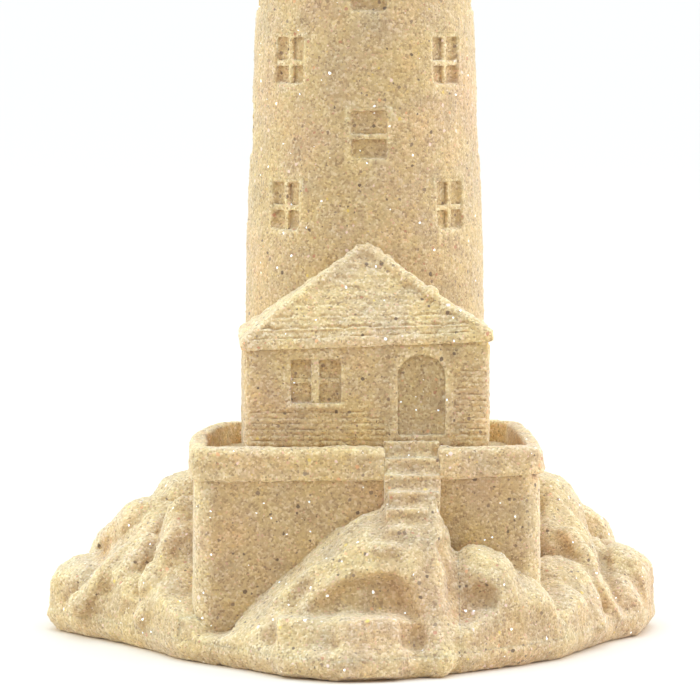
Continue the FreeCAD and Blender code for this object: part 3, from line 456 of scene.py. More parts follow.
def sand_material(name, group, shade):
    """Material of one kind of surface: the sand, drawn lighter or darker by its shade, which paints light
    and shade into its colour.
    """
    material = bpy.data.materials.new(name)
    material.use_nodes = True
    tree = material.node_tree
    shader = tree.nodes["Principled BSDF"]
    place = add_node(tree, "ShaderNodeTexCoord", (-900, 0))
    sand_nodes = add_node(tree, "ShaderNodeGroup", (-600, 0), node_tree=group)
    sand_nodes.inputs["Shade"].default_value = shade
    wear = add_node(tree, "ShaderNodeAttribute", (-900, -250), attribute_name="wear")
    tree.links.new(wear.outputs["Fac"], sand_nodes.inputs["Wear"])
    tree.links.new(place.outputs["Object"], sand_nodes.inputs["Position"])
    bump = add_node(tree, "ShaderNodeBump", (-300, -300))
    bump.inputs["Strength"].default_value = BUMP_STRENGTH
    bump.inputs["Distance"].default_value = BUMP_DEPTH
    tree.links.new(sand_nodes.outputs["Relief"], bump.inputs["Height"])
    tree.links.new(bump.outputs["Normal"], shader.inputs["Normal"])
    tree.links.new(sand_nodes.outputs["Colour"], shader.inputs["Base Color"])
    tree.links.new(sand_nodes.outputs["Roughness"], shader.inputs["Roughness"])
    # Painted glints: the clear grains glow a little.
    tree.links.new(sand_nodes.outputs["Painted_glint"], shader.inputs["Emission Color"])
    shader.inputs["Emission Strength"].default_value = PAINTED_GLOW_STRENGTH
    shader.inputs["Specular IOR Level"].default_value = SHINE
    shader.inputs["Sheen Weight"].default_value = DUST_SHEEN
    shader.inputs["Sheen Roughness"].default_value = DUST_SHEEN_ROUGHNESS
    shader.inputs["Subsurface Weight"].default_value = LIGHT_ENTRY
    shader.inputs["Subsurface Radius"].default_value = LIGHT_REDDENING
    shader.inputs["Subsurface Scale"].default_value = LIGHT_DEPTH
    print("material", name, "of shade", shade)
    return material


sand = sand_material("sand_cast", grains, 1.0)
# Painted shade for the door leaf in its recess; painted light for parapet and roof.
painted_shade_sand = sand_material("sand_painted_shade", grains, 0.86)
painted_light_sand = sand_material("sand_painted_light", grains, 1.07)

# %% [markdown]
# ## Picking, copying and joining
# Every form starts as a copy of a solid in the frame, because the solids themselves must stay as they
# are. A linked duplicate would share its mesh, so a full one is made, and its doubled points are merged,
# so that its faces hang together.

# %% Picking, copying and joining
SAME_POINT = 0.001 * MM


def pick(*objects):
    """Select these objects only, the first of them active."""
    bpy.ops.object.select_all(action="DESELECT")
    for obj in objects:
        obj.select_set(True)
    bpy.context.view_layer.objects.active = objects[0]


def copy_of(node):
    """Copy of a node's form with its doubled points merged."""
    pick(bpy.data.objects[node])
    bpy.ops.object.duplicate()
    piece = bpy.context.active_object
    bpy.ops.object.mode_set(mode="EDIT")
    bpy.ops.mesh.select_all(action="SELECT")
    bpy.ops.mesh.remove_doubles(threshold=SAME_POINT)
    bpy.ops.object.mode_set(mode="OBJECT")
    return piece


def freeze():
    """Write the place, turn and size of the active piece into its points."""
    bpy.ops.object.transform_apply(location=True, rotation=True, scale=True)


def joined(name, parts):
    """One object of several, under a new name."""
    pick(*parts)
    if len(parts) > 1:
        bpy.ops.object.join()
    piece = bpy.context.active_object
    piece.name = name
    piece.data.name = name
    return piece


def grown(piece, amounts):
    """Stretch a piece about its middle by so many millimetres along each axis."""
    pick(piece)
    bpy.ops.object.origin_set(type="ORIGIN_GEOMETRY", center="BOUNDS")
    size = piece.dimensions / MM
    piece.scale = [1 + amount / length for amount, length in zip(amounts, size)]
    freeze()
    return piece


print("solids in the frame:", len(list(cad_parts)))

# %% [markdown]
# ## Skin and wear
# On the real figure all forms are one skin of sand, with soft inner corners and worn edges. Bevels
# would need clean edges, and these forms cross each other freely. A voxel remesh wraps whatever is
# joined in one even skin, and a few steps of smoothing wear its edges down. Smoothing wears an even
# skin the same everywhere, so one number sets the wear of a piece.

# %% Skin and wear
SMOOTH_SHARE = 0.5


def apply(piece, kind, name, **values):
    """Add one modifier and apply it."""
    pick(piece)
    modifier = piece.modifiers.new(name, kind)
    for key, value in values.items():
        setattr(modifier, key, value)
    bpy.ops.object.modifier_apply(modifier=name)


def smooth(piece, steps):
    """Wear a piece by so many steps of smoothing."""
    apply(piece, "SMOOTH", "wear", factor=SMOOTH_SHARE, iterations=steps)


def skin(piece, voxel, wear):
    """One even skin over all forms of a piece, then so many steps of wear; voxel in millimetres."""
    apply(piece, "REMESH", "skin", mode="VOXEL", voxel_size=voxel * MM, adaptivity=0)
    smooth(piece, wear)


print("share of each step of wear:", SMOOTH_SHARE)

# %% [markdown]
# ## Lumps, pits and grain
# A cast face is never flat: it has shallow lumps a few millimetres wide, small pits, and the grain that
# can be felt. Sculpting could make them, but not the same way twice. Three cloud textures of three
# sizes push the skin in and out along its normals, the widest first.

# %% Lumps, pits and grain
def cloud_texture(name, size, depth):
    """Cloud texture whose clouds have one size in millimetres."""
    texture = bpy.data.textures.new(name, "CLOUDS")
    texture.noise_scale = size * MM
    texture.noise_depth = depth
    return texture


LUMPS = cloud_texture("lumps", 3.5, 2)
PITS = cloud_texture("pits", 1.1, 1)
ROUGH = cloud_texture("rough", 0.4, 0)


def roughen(piece, *amounts):
    """Displace by one texture after another; each amount is a texture and a strength in millimetres."""
    for texture, strength in amounts:
        apply(piece, "DISPLACE", texture.name, texture=texture, strength=strength * MM, mid_level=0.5,
              texture_coords="LOCAL")


print("clouds in mm:", [round(texture.noise_scale / MM, 1) for texture in (LUMPS, PITS, ROUGH)])

# %% [markdown]
# ## Where the sand is worn and dusty, and where light and shade are painted
# Edges and tops of the figure are paler: partly because they are rubbed and dusty, partly as painted
# light, as if they caught more light; hollows get a little painted shade. A pointiness node could find
# edges, but depends on how dense the mesh is. So each point's height over its surroundings is measured:
# they reach about a millimetre and a half, and are found by averaging over neighbours again and again.
# The result stays in the mesh as an attribute, named wear, that the material reads.

# %% Surroundings of each point
WEAR_REACH = 1.5 * MM


def points_and_normals(mesh):
    """The points and the normals of a mesh, each as rows of three numbers."""
    tables = []
    for source, kind in ((mesh.vertices, "co"), (mesh.vertex_normals, "vector")):
        numbers = np.empty(len(source) * 3)
        source.foreach_get(kind, numbers)
        tables.append(numbers.reshape(-1, 3))
    return tables


def surroundings(mesh, points):
    """Mean place of what lies round each point, and how often neighbours were averaged for it."""
    count = len(points)
    pairs = np.empty(len(mesh.edges) * 2, dtype=np.int64)
    mesh.edges.foreach_get("vertices", pairs)
    pairs = pairs.reshape(-1, 2)
    ends = np.concatenate((pairs[:, 0], pairs[:, 1]))
    others = np.concatenate((pairs[:, 1], pairs[:, 0]))
    lengths = np.linalg.norm(points[pairs[:, 0]] - points[pairs[:, 1]], axis=1)
    rounds = int((WEAR_REACH / lengths.mean()) ** 2) + 1
    share = np.bincount(ends, minlength=count)[:, None]
    around = points.copy()
    for _ in range(rounds):
        sums = [np.bincount(ends, weights=around[others, axis], minlength=count) for axis in range(3)]
        around = np.stack(sums, axis=1) / share
    return around, rounds


print("reach of the surroundings in mm:", round(WEAR_REACH / MM, 2))

# %% Wear map
WEAR_DEPTH = 0.9 * MM
EVEN_WEAR = 0.5
DUST_AND_TOP_LIGHT = 0.44


def mark_wear_and_painted_light(piece, painted_light=None):
    """Note wear, dust and painted light at each point: 1 on edges and tops, 0.5 on walls, 0 in hollows as
    painted shade.
    """
    mesh = piece.data
    points, normals = points_and_normals(mesh)
    around, rounds = surroundings(mesh, points)
    height = ((points - around) * normals).sum(axis=1)
    # Raised points and level tops score higher: partly wear and dust, partly painted highlight. Hollows
    # score lower, as painted shade.
    amount = EVEN_WEAR + height / WEAR_DEPTH + DUST_AND_TOP_LIGHT * np.maximum(normals[:, 2], 0)
    if painted_light:
        amount += painted_light(*points.T / MM)
    # The attribute named wear holds this wear, dust and painted light.
    wear = mesh.attributes.new("wear", "FLOAT", "POINT")
    wear.data.foreach_set("value", np.clip(amount, 0, 1))
    low, high = height.min() / MM, height.max() / MM
    print("%-18s %d rounds, height from %.2f to %.2f mm" % (piece.name, rounds, low, high))


# Level tops are paler partly by dust and partly by painted light from above.
print("a level top is", DUST_AND_TOP_LIGHT, "paler by dust")

# %% [markdown]
# ## Casting a piece
# All pieces go through the same mould, so one function takes a form through every step above. A recipe
# holds the five numbers in which pieces differ: voxel of the skin, steps of wear, and the strength of
# lumps, pits and grain. What only some have, such as pressed lines, comes in between.

# %% Casting a piece
SHARP_TURN = math.radians(70)


def dress(piece, material):
    """Give a piece its material and smooth shading."""
    piece.data.materials.clear()
    piece.data.materials.append(material)
    pick(piece)
    bpy.ops.object.shade_smooth_by_angle(angle=SHARP_TURN)


def cast(piece, recipe, press=None, painted_light=None, material=sand):
    """Take a piece through skin, wear, pressed lines, lumps, pits, map of wear and painted light, grain and
    material.
    """
    voxel, wear, lumps, pits, rough = recipe
    skin(piece, voxel, wear)
    if press:
        press(piece)
    roughen(piece, (LUMPS, lumps), (PITS, pits))
    mark_wear_and_painted_light(piece, painted_light)
    roughen(piece, (ROUGH, rough))
    if material:
        dress(piece, material)


def finish_piece(piece, node):
    """Tie a piece to the body, and hide the node whose place it takes."""
    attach(piece, "root")
    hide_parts(node)
    triangles = sum(len(face.vertices) - 2 for face in piece.data.polygons)
    print("%-18s %7d triangles" % (piece.name, triangles))


print("shaded smooth up to degrees:", round(math.degrees(SHARP_TURN)))

# %% [markdown]
# ## Ridges of the rocks
# The rocks have rounded ridges that run down from the terrace to the slab, with furrows between them.
# A curve with a bevel could draw a ridge, but it ends flat and must be turned into a mesh. A row of
# balls joined by tapered rods does it with two primitives, and the skin later melts them together.

# %% Ridges of the rocks
BALL_DETAIL = 3
ROD_SIDES = 16
# Each ridge is a row of places and radii, in millimetres.
RIDGES = [
    # down the left rocks
    [(-29.5, -3, 16.5, 1.8), (-33.5, -7, 14.0, 1.9), (-38.5, -9, 10.0, 2.0), (-43.0, -8, 5.2, 2.0)],
    [(-27.5, -13, 16.8, 1.8), (-30.0, -16, 14.2, 1.8), (-30.8, -19, 9.8, 1.8), (-33.0, -19.5, 5.0, 1.8)],
    [(-31.0, 3, 17.0, 2.0), (-35.0, 3, 16.0, 2.4), (-38.0, 3, 13.5, 2.2)],
    # down the right rocks, and a fill beside it
    [(30.1, -7.6, 15.0, 1.7), (32.2, -10.6, 12.2, 1.7), (34.0, -13, 8.4, 1.6), (36.5, -13.5, 4.3, 1.5)],
    [(27.0, -5.0, 14.6, 2.8), (28.4, -7.6, 11.6, 2.9)],
    # fills at the terrace's back left corner and between the left ridges
    [(-24.4, 21.0, 7.0, 3.6), (-24.2, 19.6, 11.4, 2.8)],
    [(-31.8, -8.8, 14.2, 2.0), (-33.8, -10.4, 11.8, 2.3), (-35.9, -11.4, 9.4, 2.1)],
    # low on the right, along the bank under the stair, and down the pillar
    [(27.0, -16, 9.6, 1.6), (31.0, -19, 6.6, 1.6), (33.5, -20, 3.6, 1.5)],
    [(-2.0, -37.5, 16.6, 1.6), (-8.0, -37, 13.6, 1.6), (-13.0, -36.5, 9.5, 1.6), (-15.0, -38.5, 5.5, 1.8)],
    [(7.8, -37.6, 16.5, 2.2), (7.9, -40.2, 11.5, 2.4), (8.3, -42.2, 6.5, 2.5), (8.5, -44.5, 2.2, 2.5)],
]


def ball(place, radius):
    """Ball at a place in millimetres."""
    bpy.ops.mesh.primitive_ico_sphere_add(
        subdivisions=BALL_DETAIL, radius=radius * MM, location=Vector(place) * MM)
    freeze()
    return bpy.context.active_object


def rod(start, finish, start_radius, finish_radius):
    """Tapered rod between two places in millimetres."""
    start = Vector(start)
    finish = Vector(finish)
    along = finish - start
    bpy.ops.mesh.primitive_cone_add(
        vertices=ROD_SIDES, radius1=start_radius * MM, radius2=finish_radius * MM,
        depth=along.length * MM, location=(start + finish) / 2 * MM,
        rotation=along.to_track_quat("Z", "Y").to_euler())
    freeze()
    return bpy.context.active_object


def ridge(points):
    """Rounded ridge through places given as x, y, z and radius."""
    parts = [ball(point[:3], point[3]) for point in points]
    for first, second in zip(points, points[1:]):
        parts.append(rod(first[:3], second[:3], first[3], second[3]))
    return parts


print("ridges and fills:", len(RIDGES))

# %% [markdown]
# ## Blocky faces under the stair
# Low in front, the rock breaks into blunt blocks with a flat top, and the hollow above them has a flat
# back. Extruding faces of the rock would tear its irregular mesh. A box is enough for each: its front
# leans back as it rises and turns a little, and most of it is buried in the rock.

# %% Blocky faces under the stair
# Each row gives two corners in millimetres, how far the front leans back, and how far its left end does.
FACETS = [
    ((-14.0, -49.3, 0.6), (-5.0, -36.0, 8.3), 3.0, 3.0),
    ((-5.2, -49.4, 0.6), (3.2, -36.0, 8.7), 3.0, -0.9),
    ((-7.0, -40.3, 7.0), (4.6, -36.0, 14.6), 0.6, 0.5),
]
FACET_FRONT = -40


def block(low, high):
    """Box between two corners in millimetres."""
    low = Vector(low)
    high = Vector(high)
    bpy.ops.mesh.primitive_cube_add(size=1, location=(low + high) / 2 * MM)
    box = bpy.context.active_object
    box.scale = (high - low) * MM
    freeze()
    return box


def facet(low, high, lean, turn):
    """Box whose front leans back by lean, its left end set back by turn."""
    piece = block(low, high)
    for point in piece.data.vertices:
        if point.co.y < FACET_FRONT * MM:
            rise = (point.co.z / MM - low[2]) / (high[2] - low[2])
            left = (high[0] - point.co.x / MM) / (high[0] - low[0])
            point.co.y += (lean * rise + turn * left) * MM
    return piece


print("blocky faces:", len(FACETS))

# %% [markdown]
# ## Creases in the rocks
# Narrow creases part the boulders. They could be cut with thin solids, but a Boolean leaves hard lips
# that the sand doesn't have. Instead the skin is pressed in: points near a line drawn on the front, as
# it is seen in the photograph, move inwards, most on the line and not at all at its half width.

# %% Lines of the creases
# Each crease has its places, its half width and its depth, in millimetres.
CREASES = [
    ([(-32.3, -1.9, 19.3), (-34.6, -3.1, 16.8), (-36.5, -2.9, 15.2), (-38.7, -3.0, 13.4),
      (-40.9, -5.4, 10.6), (-42.6, -7.1, 7.9), (-44.2, -5.5, 5.4)], 1.7, 0.55),
    ([(-26.4, -12.6, 19.1), (-29.4, -12.4, 18.6), (-30.6, -11.4, 17.3), (-31.5, -9.0, 15.2),
      (-31.8, -10, 13.3), (-30.9, -20.0, 10.8), (-32.7, -21.0, 8.9), (-35.2, -17.3, 6.0)], 1.5, 0.5),
    ([(-42.4, 3.6, 12.2), (-41.3, 3.6, 11.2), (-39.6, 0.0, 11.6)], 1.8, 0.6),
    ([(36.9, 1.5, 13.6), (36.3, -2.0, 11.5), (35.8, -5.0, 9.6), (37.0, -10.2, 7.2),
      (38.6, -12.0, 4.9)], 1.5, 0.9),
    ([(5.4, -44.3, 8.2), (5.9, -44.3, 5.2), (5.7, -47.0, 3.5)], 1.5, 0.8),
    ([(9.7, -39.0, 18.0), (10.9, -40.0, 14.5), (11.2, -41.0, 10.8)], 1.3, 0.9),
    ([(-9.9, -40.0, 12.5), (-12.1, -41.0, 9.6)], 1.2, 0.6),
]
print("creases:", len(CREASES))

# %% Pressing the creases
# The direction in which the camera looks, and the plane across it on which the lines are drawn.
VIEW_FORWARD = np.array((0.035, 0.995, -0.092))
VIEW_PLANE = np.array(((0.9994, -0.0350, 0.0), (0.0032, 0.0920, 0.9958)))
CREASE_REACH = 10
CREASE_FACING = 0.3
FAR_AWAY = 1e3


def crease(piece, places, width, depth):
    """Press a groove into the front of a piece along places."""
    mesh = piece.data
    points, normals = points_and_normals(mesh)
    flat = points @ VIEW_PLANE.T / MM
    path = np.array(places) @ VIEW_PLANE.T
    middle = (np.array(places) @ VIEW_FORWARD).mean()
    nearest = np.full(len(points), FAR_AWAY)
    for first, second in zip(path, path[1:]):
        along = second - first
        share = np.clip((flat - first) @ along / (along @ along), 0, 1)
        nearest = np.minimum(nearest, np.linalg.norm(flat - first - np.outer(share, along), axis=1))
    near = np.abs(points @ VIEW_FORWARD / MM - middle) < CREASE_REACH
    push = np.clip(1 - nearest / width, 0, 1) * near * (normals @ VIEW_FORWARD < CREASE_FACING)
    points -= normals * push[:, None] * depth * MM
    mesh.vertices.foreach_set("co", points.ravel())
    mesh.update()


def press_creases(piece):
    """Press all creases, then wear them a little."""
    for places, width, depth in CREASES:
        crease(piece, places, width, depth)
    smooth(piece, 1)


print("reach of a crease in mm:", CREASE_REACH)

# %% [markdown]
# ## The rock mass
# The rocks are one grown mass on a low slab. Cast one by one, they would meet in hard seams. So all six
# solids are joined first, with the ridges, the blocky faces, a shrunken copy of the terrace and one of
# the stair, against which the rocks blend. They are skinned twice: coarsely and well worn, to melt the
# forms together, then finely, to hold the creases. Some places are lightened with painted light.

# %% The rock mass
ROCK_NODES = ["rock_base", "left_rocks", "right_rocks", "front_rocks", "stair_rocks", "rear_rocks"]
TERRACE_SHRINK = (-1.4, -1.4, -1.0)
BLEND_VOXEL = 0.5
BLEND_WEAR = 6
ROCK_RECIPE = (0.34, 1, 0.4, 0.3, 0.2)
# Painted light on the rocks: how much paler each place is drawn.
LOW_PALER = 0.18
LOW_TOP = 9
LOW_FRONT = -38
HOLLOW_PALER = 0.28
HOLLOW_MIDDLE = (-1.5, -38.6, 11.3)
HOLLOW_HALF = (7, 2.6, 3)
LEFT_PALER = 0.12
LEFT_START = -25
PALER_FADE = 3


def painted_light_rock(x, y, z):
    """Painted light: paler low on the front, in the hollow under the stair and on the left rocks."""
    low = np.clip((LOW_TOP - z) / PALER_FADE, 0, 1) * np.clip((LOW_FRONT - y) / PALER_FADE, 0, 1)
    inside = np.full(len(x), True)
    for place, middle, half in zip((x, y, z), HOLLOW_MIDDLE, HOLLOW_HALF):
        inside &= np.abs(place - middle) < half
    left = np.clip((LEFT_START - x) / PALER_FADE, 0, 1)
    return LOW_PALER * low + HOLLOW_PALER * inside + LEFT_PALER * left


def rock_mass():
    """All rocks as one worn skin, with the terrace and the stair inside it."""
    parts = [copy_of(node) for node in ROCK_NODES]
    for points in RIDGES:
        parts += ridge(points)
    parts.append(grown(copy_of("terrace_walls"), TERRACE_SHRINK))
    parts.append(copy_of("stair_flight"))
    parts += [facet(*row) for row in FACETS]
    piece = joined("rock_mass", parts)
    skin(piece, BLEND_VOXEL, BLEND_WEAR)
    cast(piece, ROCK_RECIPE, press_creases, painted_light_rock, None)
    return piece


mass = rock_mass()
print("points in the rock mass:", len(mass.data.vertices))

# %% [markdown]
# ## Parting the rocks
# The frame has six rock nodes, so the mass is parted into six pieces. Separating faces would leave them
# open. Bisect cuts along a plane and fills the cut, so every piece is closed, and all lumps run on
# across it. The planes at front and back lie inside the terrace, where no cut shows.

# %% Parting the rocks
SEAM = 3.2
FRONT = -29.6
BACK = 18.0
STAIR_SIDE = 12
# Each plane has a place and the direction that is thrown away; its name says what stays.
ABOVE_SEAM = ((0, 0, SEAM), (0, 0, -1))
BELOW_SEAM = ((0, 0, SEAM), (0, 0, 1))
IN_FRONT = ((0, FRONT, 0), (0, 1, 0))
AFTER_FRONT = ((0, FRONT, 0), (0, -1, 0))
RIGHT_OF_STAIR = ((STAIR_SIDE, 0, 0), (-1, 0, 0))
LEFT_OF_STAIR = ((STAIR_SIDE, 0, 0), (1, 0, 0))
BEFORE_BACK = ((0, BACK, 0), (0, 1, 0))
BEHIND = ((0, BACK, 0), (0, -1, 0))
LEFT_HALF = ((0, 0, 0), (1, 0, 0))
RIGHT_HALF = ((0, 0, 0), (-1, 0, 0))
ROCK_PIECES = [
    ("base_cast", "rock_base", [BELOW_SEAM]),
    ("front_rock_cast", "front_rocks", [ABOVE_SEAM, IN_FRONT, RIGHT_OF_STAIR]),
    ("stair_rock_cast", "stair_rocks", [ABOVE_SEAM, IN_FRONT, LEFT_OF_STAIR]),
    ("left_rock_cast", "left_rocks", [ABOVE_SEAM, AFTER_FRONT, BEFORE_BACK, LEFT_HALF]),
    ("right_rock_cast", "right_rocks", [ABOVE_SEAM, AFTER_FRONT, BEFORE_BACK, RIGHT_HALF]),
    ("rear_rock_cast", "rear_rocks", [ABOVE_SEAM, BEHIND]),
]


def part(whole, name, cuts):
    """Copy of a whole, cut back by planes."""
    pick(whole)
    bpy.ops.object.duplicate()
    piece = bpy.context.active_object
    piece.name = name
    for place, outward in cuts:
        bpy.ops.object.mode_set(mode="EDIT")
        bpy.ops.mesh.select_all(action="SELECT")
        bpy.ops.mesh.bisect(
            plane_co=Vector(place) * MM, plane_no=outward, use_fill=True, clear_outer=True)
        bpy.ops.object.mode_set(mode="OBJECT")
    dress(piece, sand)
    return piece


for name, node, cuts in ROCK_PIECES:
    finish_piece(part(mass, name, cuts), node)
bpy.data.objects.remove(mass, do_unlink=True)

# %% [markdown]
# ## Terrace walls
# Plain battered walls hold the terrace, their upright corners rounded, and the front corners drawn
# paler as painted highlight. As the frame has them, they would end in a sharp line under the parapet.
# So they rise a little into it, and a bar closes the joint along the front. Many steps of wear round the
# corners, where a bevel would stay too even.

# %% Terrace walls
TERRACE_RECIPE = (0.36, 22, 0.25, 0.15, 0.16)
TERRACE_RISE = (0, 0, 0.8)
JOINT_BAR = ((-24, -30.4, 25), (23, -29, 28))
MIDDLE = -0.7
# Painted highlight on the terrace's front corners.
CORNER_PALER = 0.5
CORNER_START = 22.2
CORNER_FADE = 1.6
CORNER_FRONT = -27


def make(name, node, parts, recipe, press=None, painted_light=None, material=sand):
    """Join parts, cast them, and let the piece take the place of a node."""
    piece = joined(name, parts)
    cast(piece, recipe, press, painted_light, material)
    finish_piece(piece, node)


def painted_light_corners(x, y, z):
    """Painted highlight: the terrace's front corners are drawn paler."""
    share = np.clip((np.abs(x - MIDDLE) - CORNER_START) / CORNER_FADE, 0, 1)
    return CORNER_PALER * share * (y < CORNER_FRONT)


parts = [grown(copy_of("terrace_walls"), TERRACE_RISE), block(*JOINT_BAR)]
make("terrace_cast", "terrace_walls", parts, TERRACE_RECIPE, painted_light=painted_light_corners)

# %% [markdown]
# ## Parapet
# A heavy band runs round the terrace, open at the stair. It is the least regular part: the back hangs
# lower, the back left corner is drawn in, and the underside rises to the right. A lattice could bend it
# by hand. Here three short rules move the points, after a first skin has given the long faces enough
# of them, and a second skin evens them out again.

# %% Bending the parapet
BACK_SINK = 1.3
SINK_FOOT = 27
CORNER_DRAW = 0.20
DRAW_POWER = 1.5
SAG_START = -12.0
BACK_EDGE = 19.6
RIGHT_LIFT = 1.0
LIFT_START = 9
LIFT_LENGTH = 16
LIFT_FRONT = -24
LIFT_TOP = 28.4
LIFT_HEIGHT = 2.2


def sag(piece):
    """Lower the back of the parapet, draw its left corner in and lift its underside at the right."""
    for point in piece.data.vertices:
        share = max(0.0, (point.co.y / MM - SAG_START) / (BACK_EDGE - SAG_START))
        if point.co.z > SINK_FOOT * MM:
            point.co.z -= BACK_SINK * share * MM
        if point.co.x < 0:
            point.co.x *= 1 - CORNER_DRAW * share ** DRAW_POWER
        right = point.co.x - LIFT_START * MM
        below = LIFT_TOP * MM - point.co.z
        if right > 0 and below > 0 and point.co.y < LIFT_FRONT * MM:
            point.co.z += RIGHT_LIFT * right / LIFT_LENGTH * below / (LIFT_HEIGHT * MM)


print("the parapet's back hangs lower by mm:", BACK_SINK)

# %% Parapet
PARAPET_RECIPE = (0.3, 10, 0.5, 0.3, 0.16)
SECOND_VOXEL = 0.26
SECOND_WEAR = 2
# Painted light that makes the back of the parapet paler.
BACK_PALER = 0.45
BACK_PALER_START = -12
BACK_PALER_FADE = 14


def bend_parapet(piece):
    sag(piece)
    skin(piece, SECOND_VOXEL, SECOND_WEAR)


def painted_light_back(x, y, z):
    """Painted light: the parapet is paler towards the back."""
    return BACK_PALER * np.clip((y - BACK_PALER_START) / BACK_PALER_FADE, 0, 1)


# Painted light: the parapet's sand is drawn lighter, more so at the back.
parts = [copy_of("terrace_parapet")]
make("parapet_cast", "terrace_parapet", parts, PARAPET_RECIPE, bend_parapet, painted_light_back, painted_light_sand)

# %% [markdown]
# ## Stair
# A short flight climbs to the door. Only its upper steps are clean; the lower ones are worn into the
# rock. They could be sculpted away. Simpler: the rock mass already holds a worn copy of the whole
# flight, so the clean flight is cut off below its upper steps.

# %% Stair
STAIR_RECIPE = (0.2, 4, 0.4, 0.2, 0.14)
STAIR_GROWTH = (0.5, 0, 0)
STEPS_SHOWN = 21.4


def stair():
    whole = grown(joined("stair_cast", [copy_of("stair_flight")]), STAIR_GROWTH)
    cast(whole, STAIR_RECIPE)
    piece = part(whole, "stair_cast", [((0, 0, STEPS_SHOWN), (0, 0, -1))])
    bpy.data.objects.remove(whole, do_unlink=True)
    piece.name = "stair_cast"
    finish_piece(piece, "stair_flight")


stair()

# %% [markdown]
# ## Pressed courses
# The cottage walls and the roof show level courses, faint and broken by wear. A bump map would leave
# the outline smooth, so the lines are pressed into the skin: a wave over the height gives the lines, two
# more make them waver, and a product of slow waves makes each stronger and weaker along its way.

# %% Pressed courses
COURSE_WAVES = [(0.06, 1.3, 0), (0.05, 3.1, 1)]
LINE_SHARPNESS = 3
RAGGED_MEAN = 0.62
RAGGED_SWING = 0.38
SHORT_SWAY = 0.9
LONG_SWAY = 0.37
ROW_SHIFT = 2.1
FACE_AGREES = 0.8


def course(piece, inside, direction, pitch, start, depth):
    """Press shallow level lines into a face, as deep as inside allows; lengths in millimetres."""
    mesh = piece.data
    points, normals = points_and_normals(mesh)
    x, y, z = points.T / MM
    level = (z - start) / pitch
    for height, pace, shift in COURSE_WAVES:
        level = level + height * np.sin(pace * x + shift)
    line = np.maximum(np.cos(2 * np.pi * level), 0) ** LINE_SHARPNESS
    row = np.round(level)
    sway = RAGGED_SWING * np.sin(SHORT_SWAY * x + ROW_SHIFT * row) * np.sin(LONG_SWAY * x + row)
    ragged = RAGGED_MEAN + sway
    share = inside(x, y, z) * (normals @ np.array(direction) > FACE_AGREES)
    points += np.outer(share * line * ragged * depth * MM, -np.array(direction))
    mesh.vertices.foreach_set("co", points.ravel())
    mesh.update()
    print(piece.name, "points in courses:", int((share > 0).sum()))


print("waves in the courses:", len(COURSE_WAVES))

# %% [markdown]
# ## Cottage walls
# The cottage has rounded front corners, a door frame that hardly stands out, and courses low at the left
# and beside the door. Wear alone rounds a corner by a fraction of a millimetre, so the corners are
# bevelled first, while the copy still has its few straight edges, and the frame is pushed back. A bar
# under the eave closes the joint with the roof.

# %% Rounding straight edges
FLAT_ANGLE = math.radians(1)
COTTAGE_FRONT = -27.5
FACE_PLAY = 0.1
UPRIGHT = 0.01
CORNER_FROM_MIDDLE = 17


def bevel_edges(piece, chosen, width, segments):
    """Round the chosen straight edges; the choice sees an edge's two ends in millimetres."""
    pick(piece)
    bpy.ops.object.mode_set(mode="EDIT")
    bpy.ops.mesh.select_mode(type="EDGE")
    bpy.ops.mesh.select_all(action="SELECT")
    bpy.ops.mesh.dissolve_limited(angle_limit=FLAT_ANGLE)
    bpy.ops.mesh.select_all(action="DESELECT")
    bpy.ops.object.mode_set(mode="OBJECT")
    points = piece.data.vertices
    for edge in piece.data.edges:
        first, second = (points[index].co / MM for index in edge.vertices)
        edge.select = chosen(first, second)
    print(piece.name, "edges to round:", sum(edge.select for edge in piece.data.edges))
    bpy.ops.object.mode_set(mode="EDIT")
    bpy.ops.mesh.bevel(offset=width * MM, segments=segments)
    bpy.ops.object.mode_set(mode="OBJECT")


def front_corner(first, second):
    """Whether an edge is one of the two upright front corners."""
    upright = abs(first.x - second.x) + abs(first.y - second.y) < UPRIGHT
    outer = abs(first.x - MIDDLE) > CORNER_FROM_MIDDLE
    return upright and outer and first.y < COTTAGE_FRONT + FACE_PLAY


print("the cottage's front lies at y =", COTTAGE_FRONT, "mm")

# %% Cottage walls
COTTAGE_RECIPE = (0.18, 2, 0.25, 0.25, 0.14)
FRAME_FACE = -27.64
FRAME_FOOT = 32
FRAME_LEFT = 2
CORNER_ROUND = 1.5
CORNER_STEPS = 5
EAVE_BAR = ((-18.2, -27.4, 44.5), (16.8, -8, 46.6))
FACING_FRONT = (0, -1, 0)
WALL_COURSE = 0.84
WALL_COURSE_START = 34.24
WALL_COURSE_DEPTH = 0.3
COURSED_FRONT = -27
# Each coursed field has its left and right end and its top.
COURSED_FIELDS = [(-17.5, 2.0, 36.2), (12.2, 16.5, 42)]


def coursed(x, y, z):
    """Where the cottage's front shows its courses."""
    inside = np.full(len(x), False)
    for left, right, top in COURSED_FIELDS:
        inside |= (x > left) & (x < right) & (z < top)
    return inside & (y < COURSED_FRONT)


def press_wall_courses(piece):
    course(piece, coursed, FACING_FRONT, WALL_COURSE, WALL_COURSE_START, WALL_COURSE_DEPTH)


def cottage():
    walls = copy_of("cottage_walls")
    for point in walls.data.vertices:
        if point.co.z > FRAME_FOOT * MM and point.co.x > FRAME_LEFT * MM:
            point.co.y = max(point.co.y, FRAME_FACE * MM)
    bevel_edges(walls, front_corner, CORNER_ROUND, CORNER_STEPS)
    parts = [walls, block(*EAVE_BAR)]
    make("cottage_cast", "cottage_walls", parts, COTTAGE_RECIPE, press_wall_courses)


cottage()

# %% [markdown]
# ## Door and window
# The round-headed door is a plain leaf, deep in its frame and darker by painted shade. The window has
# two tall lights with bars. Both are relief in the casting, not separate joinery, so their rims must not
# show: each is grown a little, which buries its rim in the wall, and only the leaf and the bars are left to
# see.

